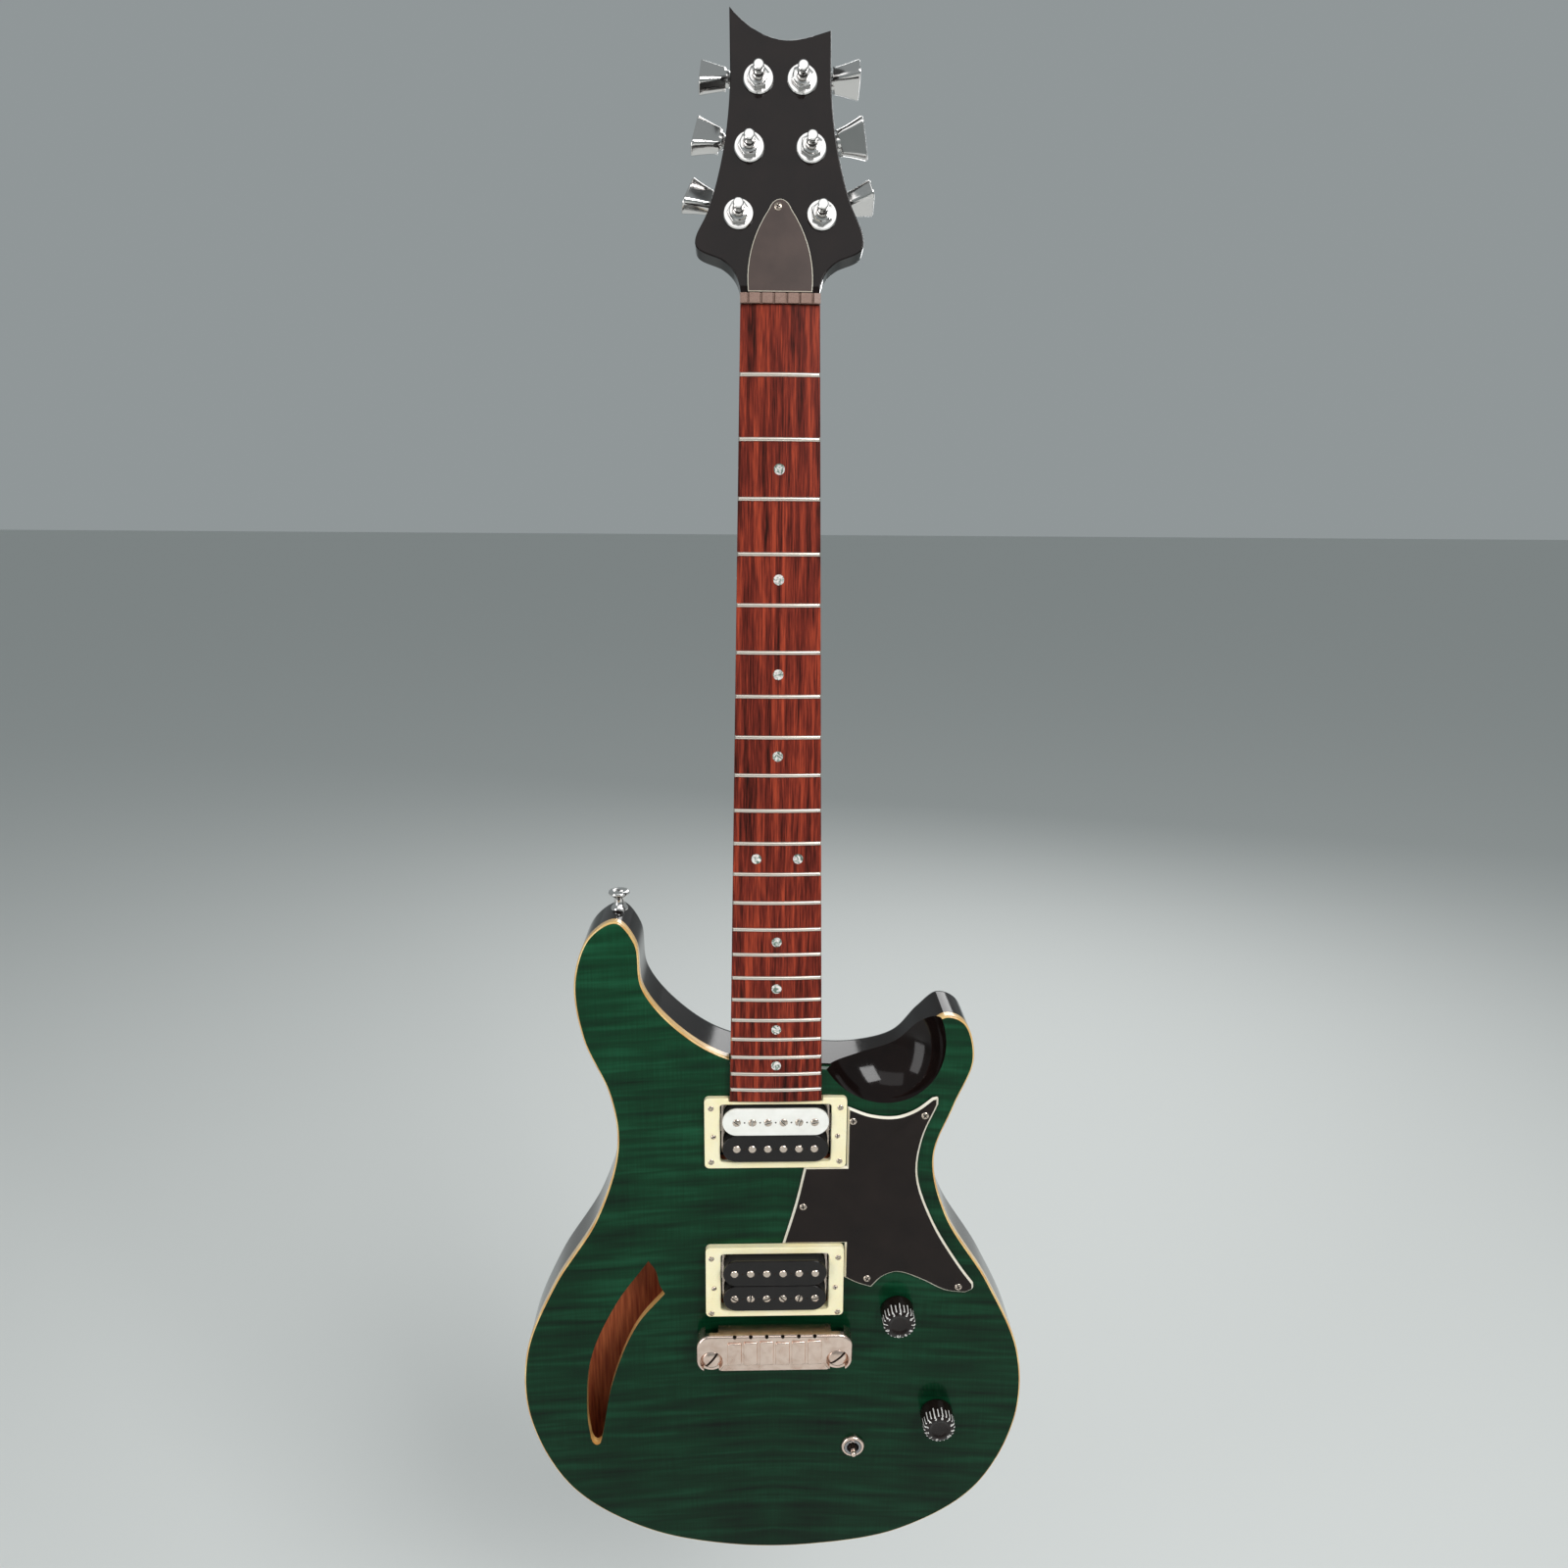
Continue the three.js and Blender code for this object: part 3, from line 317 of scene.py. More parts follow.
# Polyester lacquer, black, over filled mahogany. Buffing leaves it mirror smooth with the faintest
# ripple and hairline haze, and where light skims it looks warm brown.
black_lacquer, tree, shader, place = finish_named(
    "black_gloss_lacquer", Roughness=0.09, Specular_IOR_Level=0.24,
)
haze = add(tree, "TexNoise", {"Vector": place, "Scale": 1 / (18 * MM), "Detail": 3.0})
tone = add(tree, "ValToRGB", {"Fac": haze.outputs["Fac"]})
tone.color_ramp.elements[0].color = paint("#0b0707")
tone.color_ramp.elements[1].color = paint("#1c1311")
tree.links.new(tone.outputs["Color"], shader.inputs["Base Color"])
buffing = add(tree, "TexNoise", {"Vector": place, "Scale": 1 / (2.5 * MM), "Detail": 4.0})
gloss = add(tree, "MapRange", {"Value": buffing.outputs["Fac"], "To Min": 0.05, "To Max": 0.14})
tree.links.new(gloss.outputs["Result"], shader.inputs["Roughness"])
ripple = add(tree, "TexNoise", {"Vector": place, "Scale": 1 / (9 * MM), "Detail": 1.0})
bump = add(tree, "Bump", {"Strength": 0.025, "Distance": 0.4 * MM, "Height": ripple.outputs["Fac"]})
tree.links.new(bump.outputs["Normal"], shader.inputs["Normal"])

# Bare mahogany inside the hollows: reddish brown, open grained along the body, with pores that show
# as short dark strokes about 4 mm long. It is left off the saw, so it is dull.
mahogany = drifting(
    "bare_mahogany", (1.6, 1.6, 26), detail=5.0, colours=("#9c4326", "#dc7a48"), stops=(0.3, 0.72),
    relief=(0.3, 0.3), Roughness=0.7, IOR=1.45,
)

# Conductive shielding paint in the control cavity: matt, nearly black, brushed on.
shielding = drifting("shielding_paint", 5, detail=4.0, colours=("#141313", "#2b2928"), Roughness=0.85)

BODY_LINE = smooth_line(on_stations([
    (-29, 438), (-60, 418.5), (-81.2, 391), (-85, 362), (-96.6, 348), (-113, 357.5),
    (-123, 386), (-119, 424), (-103.5, 464), (-100, 500), (-114.5, 550), (-144, 600),
    (-164, 652), (-163.5, 704), (-137.5, 760), (-88, 795.5), (-30, 810.5), (30, 811.5),
    (88, 800), (138, 767), (164, 712), (164, 657), (141, 601.5), (111, 550),
    (101.5, 508), (113, 472), (124, 440), (117.5, 415.5), (105, 410.6), (92, 421),
    (77, 437.5), (53, 444.5), (28, 444.8),
]), 12)
CHAMBER_LINE = smooth_line(on_stations([
    (-84, 562), (-67, 600), (-80, 648), (-95, 700), (-104, 742), (-122, 756), (-141, 733),
    (-149, 690), (-146, 650), (-130, 610), (-108, 574),
]), 8)
CONTROL_LINE = smooth_line(on_stations([
    (80, 597), (103, 609), (124, 650), (134, 696), (124, 729), (94, 748), (58, 752),
    (36, 736), (40, 710), (57, 684), (61, 650), (61, 616),
]), 8)
BACK_RADIUS = 8.0
COVER_REBATE = 5.0
COVER_THICKNESS = 2.0
SCOOP_RADII = (40.8, 32.0, 47.0)
SCOOP_TURN = math.radians(-26.7)
SCOOP_AT = (65.2, TOP_Y - 8, at(425.3))
PICKUP_STATIONS = {"neck": 487.9, "bridge": 594.0}
POCKET, POCKET_DEPTH = (84, 42), 24
CHAMBER_FLOOR = 11
JACK_BORE = 7
JACK_SEAT, JACK_SEAT_DEPTH = (16, 28, 42), 0.3


def plug(radius, near, far, segments=40):
    """A round bar about the front-to-back axis, mostly used to cut a hole."""
    return spun([(0, near), (radius, near), (radius, far), (0, far)], segments)


def scoop_cutter():
    """The bowl that is carved out of the treble cutaway, an ellipsoid."""
    bm = bmesh.new()
    bmesh.ops.create_uvsphere(bm, u_segments=96, v_segments=64, radius=1)
    turn = Matrix.Rotation(SCOOP_TURN, 4, "Y")
    bmesh.ops.transform(bm, matrix=Matrix.Diagonal((*SCOOP_RADII, 1)), verts=bm.verts[:])
    bmesh.ops.transform(bm, matrix=Matrix.Translation(SCOOP_AT) @ turn, verts=bm.verts[:])
    return shaped("scoop", bm, [black_lacquer])


def brick(size, centre, turn=Matrix.Identity(4)):
    """A bmesh of a rectangular block, turned about the origin once it is in its place."""
    bm = bmesh.new()
    place_of = turn @ Matrix.Translation(centre) @ Matrix.Diagonal((*size, 1))
    bmesh.ops.create_cube(bm, size=1, matrix=place_of)
    return bm


def pocket_cutters(near, far, finish):
    """The hollows that take the two pickups."""
    lines = [rounded_box(*POCKET, 4, 0, at(station)) for station in PICKUP_STATIONS.values()]
    return [shaped("pocket", prism(line, near, far), [finish]) for line in lines]


jack_low, jack_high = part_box("jack_plate")
JACK_Z = (jack_low.z + jack_high.z) / 2 / MM
JACK_SEAT_X = jack_low.x / MM

body_bm = soft_prism(BODY_LINE, TOP_Y + CAP_THICKNESS, BACK_Y, BACK_RADIUS, 8)
body_back = shaped("body_back_wood", body_bm, [black_lacquer])

jack_bore = bmesh.new()
bmesh.ops.create_cone(
    jack_bore, cap_ends=True, segments=32, radius1=JACK_BORE, radius2=JACK_BORE, depth=60,
    matrix=Matrix.Translation((150, 0, JACK_Z)) @ Matrix.Rotation(math.pi / 2, 4, "Y"),
)
jack_seat = brick(JACK_SEAT, (JACK_SEAT_X - JACK_SEAT_DEPTH + JACK_SEAT[0] / 2, 0, JACK_Z))
rebate = prism(moved_in(CONTROL_LINE, -COVER_REBATE), BACK_Y - COVER_THICKNESS - 0.3, BACK_Y + 1)
carved(body_back, [
    scoop_cutter(),
    shaped("chamber", prism(CHAMBER_LINE, TOP_Y, BACK_Y - CHAMBER_FLOOR), [mahogany]),
    shaped("controls", prism(CONTROL_LINE, TOP_Y + CAP_THICKNESS + 1, BACK_Y + 1), [shielding]),
    shaped("rebate", rebate, [black_lacquer]),
    *pocket_cutters(TOP_Y, TOP_Y + POCKET_DEPTH, shielding),
    shaped("bore", jack_bore, [mahogany]),
    shaped("seat", jack_seat, [black_lacquer]),
])
flattened(body_back)
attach(body_back, "body")
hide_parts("body_back")


# ---------------------------------------------------------------- maple top
# A 6 mm cap of two bookmatched boards of flamed maple, glued along the middle, stained green and
# lacquered to a mirror. The crescent sound hole is sawn through it and shows the pale wood's edge.

EDGE_RADIUS = 1.3
BINDING_WIDTH = 1.1
ROUND_HOLES = {
    "bridge_stud_bass": 5.8, "bridge_stud_treble": 5.8, "volume_shaft": 5, "tone_shaft": 5,
    "toggle_nut": 6.3,
}

# Flamed maple under clear gloss. The flame is curly grain: bars across the boards about 7 mm apart
# that wander and die away, mirrored at the middle seam. Painted shade darkens the colour towards the
# tail.
green_maple, tree, shader, place = finish_named(
    "green_flamed_maple", Roughness=0.34, Specular_IOR_Level=0.05, Coat_Weight=0.22,
    Coat_Roughness=0.03,
)
axes = add(tree, "SeparateXYZ", {"Vector": place})
mirrored = add(tree, "Math", {0: axes.outputs["X"]}, operation="ABSOLUTE")
lean = add(tree, "Math", {
    0: mirrored.outputs[0], 1: 0.06, 2: axes.outputs["Z"],
}, operation="MULTIPLY_ADD")
matched = add(tree, "CombineXYZ", {
    "X": mirrored.outputs[0], "Y": axes.outputs["Y"], "Z": lean.outputs[0],
})
bars = add(tree, "Mapping", {"Vector": matched.outputs[0], "Scale": (1 / (75 * MM), 0, 1 / (5.5 * MM))})
flame = add(tree, "TexNoise", {
    "Vector": bars.outputs[0], "Scale": 1.0, "Detail": 2.5, "Distortion": 0.25,
})
drift = add(tree, "Mapping", {"Vector": matched.outputs[0], "Scale": (1 / (60 * MM), 0, 1 / (70 * MM))})
cloud = add(tree, "TexNoise", {"Vector": drift.outputs[0], "Scale": 1.0, "Detail": 2.0})
strands = add(tree, "Mapping", {
    "Vector": matched.outputs[0], "Scale": (1 / (1.1 * MM), 0, 1 / (30 * MM)),
})
fibre = add(tree, "TexNoise", {"Vector": strands.outputs[0], "Scale": 1.0, "Detail": 3.0})
figure = add(tree, "Mix", {0: 0.3, 2: flame.outputs["Fac"], 3: cloud.outputs["Fac"]})
mixed = add(tree, "Mix", {0: 0.14, 2: figure.outputs[0], 3: fibre.outputs["Fac"]})
stain = add(tree, "ValToRGB", {"Fac": mixed.outputs[0]})
stain.color_ramp.elements[0].position = 0.3
stain.color_ramp.elements[0].color = paint("#061a0f")
stain.color_ramp.elements[1].position = 0.7
stain.color_ramp.elements[1].color = paint("#18593a")
middle = stain.color_ramp.elements.new(0.5)
middle.color = paint("#0a3b22")
# Painted shade: the stain's colour is scaled from 0.95 near the neck down to 0.4 at the tail.
painted_tail_shade = add(tree, "MapRange", {
    "Value": axes.outputs["Z"], "From Min": at(820) * MM, "From Max": at(350) * MM,
    "To Min": 0.4, "To Max": 0.95,
})
shaded_stain = add(tree, "VectorMath", {
    0: stain.outputs["Color"], "Scale": painted_tail_shade.outputs[0],
}, operation="SCALE")
tree.links.new(shaded_stain.outputs[0], shader.inputs["Base Color"])
bump = add(tree, "Bump", {"Strength": 0.35, "Distance": 0.5 * MM, "Height": flame.outputs["Fac"]})
tree.links.new(bump.outputs["Normal"], shader.inputs["Normal"])

# Unstained maple at the cap's sides and in the sound hole's edge: cream to amber under clear lacquer,
# with fine darker growth lines.
plain_maple = drifting(
    "natural_maple", (14, 0.8, 14), detail=3.0, colours=("#c98f45", "#f3d38e"), stops=(0.3, 0.7),
    Roughness=0.3, IOR=1.5, Coat_Weight=0.8, Coat_Roughness=0.06,
)

SOUND_HOLE = [
    ((-82, 582), (-77.5, 589), (-75, 600), (-71.8, 606.6)),
    ((-71.8, 606.6), (-91, 631.5), (-107.5, 674), (-114.6, 711), (-116.4, 720)),
    ((-116.4, 720), (-117.6, 723.4), (-119.8, 724.6), (-122, 723), (-123.6, 719)),
    ((-123.6, 719), (-125.3, 700), (-121.5, 656), (-104, 614.5), (-82, 582)),
]


def joined_lines(runs, per_knot):
    """One closed line from smooth runs that meet at corners."""
    lines = [smooth_line(on_stations(run), per_knot, closed=False) for run in runs]
    return [point for line in lines for point in line[:-1]]


def round_cutter(node, radius, finish):
    """A round hole through the cap in front of a CAD node."""
    low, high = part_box(node)
    centre = Matrix.Translation(((low.x + high.x) / 2 / MM, 0, (low.z + high.z) / 2 / MM))
    return shaped("hole", plug(radius, -30, -10, 32), [finish], BODY_SPACE @ centre)


cap_line = moved_in(BODY_LINE, BINDING_WIDTH)
cap_bm = prism(cap_line, TOP_Y, TOP_Y + CAP_THICKNESS)
maple_top = shaped("maple_top", cap_bm, [green_maple])
THROUGH = TOP_Y - 1, TOP_Y + CAP_THICKNESS + 1
carved(maple_top, [
    scoop_cutter(),
    shaped("hole", prism(joined_lines(SOUND_HOLE, 10), *THROUGH), [plain_maple]),
    *pocket_cutters(*THROUGH, mahogany),
    *[round_cutter(node, radius, mahogany) for node, radius in ROUND_HOLES.items()],
])
flattened(maple_top)
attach(maple_top, "body")
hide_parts("body_top")


# ---------------------------------------------------------------- edge of the top
# The cap's own edge, masked off from the stain, so that it reads as a cream binding about 6 mm deep.
# Its front corner is rounded; it stops at the neck and at the scoop.

NECK_GAP = (89, 40, 90), (15.5, TOP_Y, at(425))

strip_bm = soft_prism(BODY_LINE, TOP_Y + CAP_THICKNESS, TOP_Y, EDGE_RADIUS, 4)
edge_strip = shaped("maple_edge", strip_bm, [plain_maple])
neck_gap = brick(*NECK_GAP)
carved(edge_strip, [
    shaped("inside", prism(cap_line, TOP_Y - 5, TOP_Y + CAP_THICKNESS + 5), [plain_maple]),
    shaped("gap", neck_gap, [plain_maple]),
    scoop_cutter(),
])
flattened(edge_strip)
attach(edge_strip, "body")
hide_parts("top_binding")


# ---------------------------------------------------------------- neck and headstock
# Set neck of mahogany with a three-a-side headstock, both shaped by hand and lacquered black with
# the body. The back is a soft D that swells into the heel; the headstock leans back ten degrees.

NECK_PITCH = math.radians(1.5)
HEAD_PITCH = math.radians(10)
NUT_Y = TOP_Y + 5.97
HEAD_STEP = 4.0
HEAD_THICKNESS = 14.5
BOARD_LENGTH = 465.0
BOARD_THICKNESS = 5.2
BOARD_HALF_AT_NUT = 21.4
BOARD_HALF_AT_END = 28.6
HEEL_START, HEEL_END = 372.0, 446.0
NECK_DEPTH_AT_NUT, NECK_GROWTH, NECK_DEPTH_AT_HEEL = 20.5, 2.5, 41.5
NUT_LEDGE = (60, 10, 5.8), (0, 0.2, 2.6)
TENON = (42, 25, 18), (0, 18, -452)
ROD_POCKET = 13, 32
NECK_SPACE = BODY_SPACE @ Matrix.Translation((0, NUT_Y, NUT_Z)) @ Matrix.Rotation(-NECK_PITCH, 4, "X")
HEAD_SPACE = NECK_SPACE @ Matrix.Translation((0, HEAD_STEP, 0)) @ Matrix.Rotation(-HEAD_PITCH, 4, "X")


def half_width(station):
    """Half the board's width, which grows evenly from the nut to the last fret."""
    share = max(station, 0) / BOARD_LENGTH
    return BOARD_HALF_AT_NUT + (BOARD_HALF_AT_END - BOARD_HALF_AT_NUT) * share


def neck_depth(station):
    """How thick neck and board are together, up to and over the heel."""
    plain = NECK_DEPTH_AT_NUT + NECK_GROWTH * min(max(station, 0) / HEEL_START, 1)
    t = min(max((station - HEEL_START) / (HEEL_END - 12 - HEEL_START), 0), 1)
    return plain + (NECK_DEPTH_AT_HEEL - plain) * t * t * (3 - 2 * t)


def bezier_run(start, *curves, steps=10):
    """A line from a start through cubic curves of [handle, handle, end], or straight to a lone end."""
    line = [Vector(start)]
    for curve in curves:
        if len(curve) == 1:
            line.append(Vector(curve[0]))
            continue
        a, (b, c, d) = line[-1].copy(), map(Vector, curve)
        for step in range(1, steps + 1):
            t = step / steps
            line.append(a * (1 - t)**3 + b * 3 * t * (1 - t)**2 + c * 3 * t * t * (1 - t) + d * t**3)
    return line


HEAD_LINE = bezier_run(
    (-21.2, 0),
    [(-21.2, 5)],
    [(-21.4, 14), (-25, 20), (-32, 24)],
    [(-39, 27), (-46.5, 27.5), (-45.6, 34)],
    [(-45, 39), (-41, 43), (-38, 51.5)],
    [(-30.5, 74), (-27, 98), (-26.8, 122)],
    [(-27.2, 156)],
    [(-21, 148.5), (-10, 139.5), (3, 139)],
    [(11, 139), (18, 141.5), (27, 144.5)],
    [(27.2, 118)],
    [(28, 94), (31.5, 74), (38, 54)],
    [(40.5, 47), (45, 40.5), (45, 34)],
    [(45.5, 27.5), (39, 27), (32, 24)],
    [(25, 20), (21.4, 14), (21.2, 5)],
    [(21.2, 0)],
)

shaft_line = [Vector((-1, 0))]
SIDES = 28
for i in range(1, SIDES):
    turn = math.pi * (1 - i / SIDES)
    sideways = math.copysign(abs(math.cos(turn)) ** 0.85, math.cos(turn))
    shaft_line.append(Vector((sideways, math.sin(turn) ** 0.8)))
shaft_line.append(Vector((1, 0)))
neck_bm = prism(shaft_line, 0, 1, steps=60)
for vert in neck_bm.verts:
    t = vert.co.y
    if t < 0.5:
        station = -10 + (HEEL_START + 10) * 2 * t
    else:
        station = HEEL_START + (HEEL_END - HEEL_START) * (2 * t - 1)
    vert.co = (
        vert.co.x * (half_width(station) - 0.2),
        BOARD_THICKNESS + vert.co.z * (neck_depth(station) - BOARD_THICKNESS),
        -station,
    )
neck_wood = shaped("neck_wood", neck_bm, [black_lacquer], NECK_SPACE)
head_bm = prism(HEAD_LINE, 0, HEAD_THICKNESS)
rounded(head_bm, 0, 0.7, 3)
rounded(head_bm, HEAD_THICKNESS, 1.6, 5)
rod_pocket = prism(rounded_box(*ROD_POCKET, 3, 0, 24), -1, 10.5)
rod_pocket = shaped("pocket", rod_pocket, [shielding], HEAD_SPACE)
head = carved(shaped("head", head_bm, [black_lacquer], HEAD_SPACE), [rod_pocket])
carved(neck_wood, [head], "UNION")
carved(neck_wood, [shaped("ledge", brick(*NUT_LEDGE), [black_lacquer], NECK_SPACE)])
carved(neck_wood, [shaped("tenon", brick(*TENON), [mahogany], NECK_SPACE)], "UNION")
flattened(neck_wood, 30)
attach(neck_wood, "body")
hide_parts("neck")


# ---------------------------------------------------------------- fingerboard
# A 5 mm rosewood board, planed to a shallow crown and left open grained under oil. It is glued to
# the neck's front and runs on over the body to the edge of the neck pickup.

BOARD_CROWN = 1.3


def board_depth(x, station):
    """How far the board's crowned surface lies behind its middle line."""
    return BOARD_CROWN * (x / half_width(station)) ** 2


# Indian rosewood: red-brown with nearly black streaks 1 to 4 mm wide along the neck, and open pores
# that show as fine dark strokes. Oil leaves a low sheen.
rosewood, tree, shader, place = finish_named("oiled_rosewood", Roughness=0.42, Specular_IOR_Level=0.14)
wide = add(tree, "Mapping", {"Vector": place, "Scale": (1 / (3.4 * MM), 1 / (3 * MM), 1 / (120 * MM))})
streaks = add(tree, "TexNoise", {
    "Vector": wide.outputs[0], "Scale": 1.0, "Detail": 4.0, "Distortion": 0.4,
})
fine = add(tree, "Mapping", {"Vector": place, "Scale": (1 / (0.7 * MM), 1 / (2 * MM), 1 / (14 * MM))})
pores = add(tree, "TexNoise", {"Vector": fine.outputs[0], "Scale": 1.0, "Detail": 3.0})
both = add(tree, "Mix", {0: 0.42, 2: streaks.outputs["Fac"], 3: pores.outputs["Fac"]})
tone = add(tree, "ValToRGB", {"Fac": both.outputs[0]})
tone.color_ramp.elements[0].position = 0.36
tone.color_ramp.elements[0].color = paint("#240a05")
tone.color_ramp.elements[1].position = 0.66
tone.color_ramp.elements[1].color = paint("#a6432b")
middle = tone.color_ramp.elements.new(0.5)
middle.color = paint("#68241a")
tree.links.new(tone.outputs["Color"], shader.inputs["Base Color"])
sheen = add(tree, "MapRange", {"Value": pores.outputs["Fac"], "To Min": 0.62, "To Max": 0.3})
tree.links.new(sheen.outputs[0], shader.inputs["Roughness"])
bump = add(tree, "Bump", {"Strength": 0.35, "Distance": 0.25 * MM, "Height": pores.outputs["Fac"]})
tree.links.new(bump.outputs["Normal"], shader.inputs["Normal"])

FACETS = 32
board_line = [Vector((-1, 1))]
board_line += [Vector((-1 + 2 * i / FACETS, 0)) for i in range(FACETS + 1)]
board_line.append(Vector((1, 1)))
board_bm = prism(board_line, 0, BOARD_LENGTH, steps=24)
for vert in board_bm.verts:
    x, station, low = vert.co
    depth = BOARD_THICKNESS if low > 0.5 else BOARD_CROWN * x * x
    vert.co = (x * half_width(station), depth, -station)
fingerboard = shaped("rosewood_board", board_bm, [rosewood], NECK_SPACE)
eased(fingerboard, 0.45, 3)
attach(fingerboard, "body")
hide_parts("fingerboard")


# ---------------------------------------------------------------- frets
# Twenty-two lengths of nickel-silver wire with a round crown, hammered into slots that follow equal
# temperament, then filed off at a slant at both ends and polished.

SCALE_LENGTH = 635.0
FRETS = 22
FRET_WIDTH = 2.5
FRET_HEIGHT = 1.15

# Nickel silver: a warm white brass-nickel alloy. String wear leaves fine scratches across it.
nickel_silver = drifting(
    "nickel_silver", (0.4, 4, 4), gloss=(0.24, 0.38), Base_Color=paint("#f0e6da"), Metallic=1.0,
)


def gathered(parts):
    """One bmesh from several, each with or without a matrix to move it by. The parts are used up."""
    whole = bmesh.new()
    for part in parts:
        part, matrix = part if isinstance(part, tuple) else (part, Matrix.Identity(4))
        part.transform(matrix)
        holder = bpy.data.meshes.new("holder")
        part.to_mesh(holder)
        part.free()
        whole.from_mesh(holder)
        bpy.data.meshes.remove(holder)
    return whole


def fret_station(number):
    """Where a fret stands in equal temperament."""
    return SCALE_LENGTH * (1 - 2 ** (-number / 12))


wires = []
for number in range(1, FRETS + 1):
    station = fret_station(number)
    half = half_width(station)
    turns = [math.pi * i / 10 for i in range(11)]
    crown = [Vector((FRET_WIDTH / 2 * math.cos(turn), math.sin(turn))) for turn in turns]
    wire = prism(crown, -1, 1, steps=20)
    for vert in wire.verts:
        across, along_x, height = vert.co
        rise = height * FRET_HEIGHT
        x = along_x * (half - 0.1 - rise * 0.6 * (abs(along_x) > 0.99))
        vert.co = (x, board_depth(x, station) - rise + 0.05, -station + across)
    wires.append(wire)
frets = shaped("fret_wires", gathered(wires), [nickel_silver], NECK_SPACE, 50)
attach(frets, "body")


# ---------------------------------------------------------------- position dots
# Dots of mother-of-pearl 6 mm across, let into the board between the frets and sanded flush, with
# small side dots for the player on the bass edge.

DOT_RADIUS = 3.0
SIDE_DOT_RADIUS = 1.0

# Mother-of-pearl: silver white with clouded pink and green bands that look as if they lie under
# the polished surface.
pearl, tree, shader, place = finish_named(
    "mother_of_pearl", Roughness=0.18, IOR=1.53, Coat_Weight=0.6, Coat_Roughness=0.08, Metallic=0.25,
)
clouds = add(tree, "TexNoise", {
    "Vector": place, "Scale": 1 / (3 * MM), "Detail": 3.0, "Distortion": 1.4,
})
tone = add(tree, "ValToRGB", {"Fac": clouds.outputs["Fac"]})
tone.color_ramp.elements[0].position = 0.42
tone.color_ramp.elements[0].color = paint("#68776c")
tone.color_ramp.elements[1].position = 0.6
tone.color_ramp.elements[1].color = paint("#fbf9f0")
for position, code in ((0.48, "#b9c9bd"), (0.53, "#dbc9cb")):
    tone.color_ramp.elements.new(position).color = paint(code)
tree.links.new(tone.outputs["Color"], shader.inputs["Base Color"])


def disc(bm, radius, thickness, matrix, segments=32):
    """Adds a flat disc that faces forward to a bmesh."""
    bmesh.ops.create_cone(
        bm, cap_ends=True, segments=segments, radius1=radius, radius2=radius, depth=thickness,
        matrix=matrix @ Matrix.Rotation(math.pi / 2, 4, "X"),
    )


dots_bm = bmesh.new()
for number in (3, 5, 7, 9, 12, 15, 17, 19, 21):
    station = (fret_station(number - 1) + fret_station(number)) / 2
    for x in ((-12.3, 12.3) if number == 12 else (0,)):
        lean = Matrix.Rotation(math.atan(2 * BOARD_CROWN * x / half_width(station) ** 2), 4, "Z")
        centre = Matrix.Translation((x, board_depth(x, station) + 0.46, -station))
        disc(dots_bm, DOT_RADIUS, 1.0, centre @ lean)
    for shift in ((-4, 4) if number == 12 else (0,)):
        centre = Matrix.Translation((0.22 - half_width(station + shift), 3, -station - shift))
        disc(dots_bm, SIDE_DOT_RADIUS, 0.5, centre @ Matrix.Rotation(math.pi / 2, 4, "Z"), 16)
dots = shaped("pearl_dots", dots_bm, [pearl], NECK_SPACE)
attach(dots, "body")


# ---------------------------------------------------------------- string nut
# A moulded graphite nut, brown-black with a low gloss, notched for six strings and glued into the
# ledge at the head end of the board.

NUT_THICKNESS = 5.2
NUT_FRONT = 1.9
NUT_PITCH = 6.9
STRING_NOTCH = ((-0.75, 0), (-0.4, 1.3), (0.4, 1.3), (0.75, 0))

# Graphite-filled plastic: grey-brown, speckled fine, with a low gloss.
graphite = drifting(
    "moulded_graphite", 0.6, detail=3.0, colours=("#6a5047", "#a5877a"), Roughness=0.32, IOR=1.55,
)

nut_half = BOARD_HALF_AT_NUT + 0.1
nut_line = [Vector((-nut_half, BOARD_THICKNESS)), Vector((-nut_half, 0.7 - NUT_FRONT))]
for i in range(6):
    x = (i - 2.5) * NUT_PITCH
    nut_line += [Vector((x + dx, depth - NUT_FRONT)) for dx, depth in STRING_NOTCH]
nut_line += [Vector((nut_half, 0.7 - NUT_FRONT)), Vector((nut_half, BOARD_THICKNESS))]
nut_bm = prism(nut_line, 0.3, NUT_THICKNESS + 0.3)
for vert in nut_bm.verts:
    x, along_z, depth = vert.co
    vert.co = (x, depth, along_z)
string_nut = shaped("graphite_nut", nut_bm, [graphite], NECK_SPACE)
eased(string_nut, 0.2)
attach(string_nut, "body")
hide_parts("string_nut")


# ---------------------------------------------------------------- truss rod and its cover
# The steel rod lies under the board and is turned by a hexagon nut in the headstock. A bell-shaped
# cover of two-ply plastic hides the pocket: black on white, so that its cut edge shows a pale line.

COVER_FRONT = -2.3
SCREW_RADIUS = 2.3

# Cold-drawn steel: grey, drawn lengthwise, a little dull under oil.
drawn_steel = drifting(
    "drawn_steel", (0.5, 0.5, 20), gloss=(0.28, 0.5), Base_Color=paint("#9b9b9d"), Metallic=1.0,
)

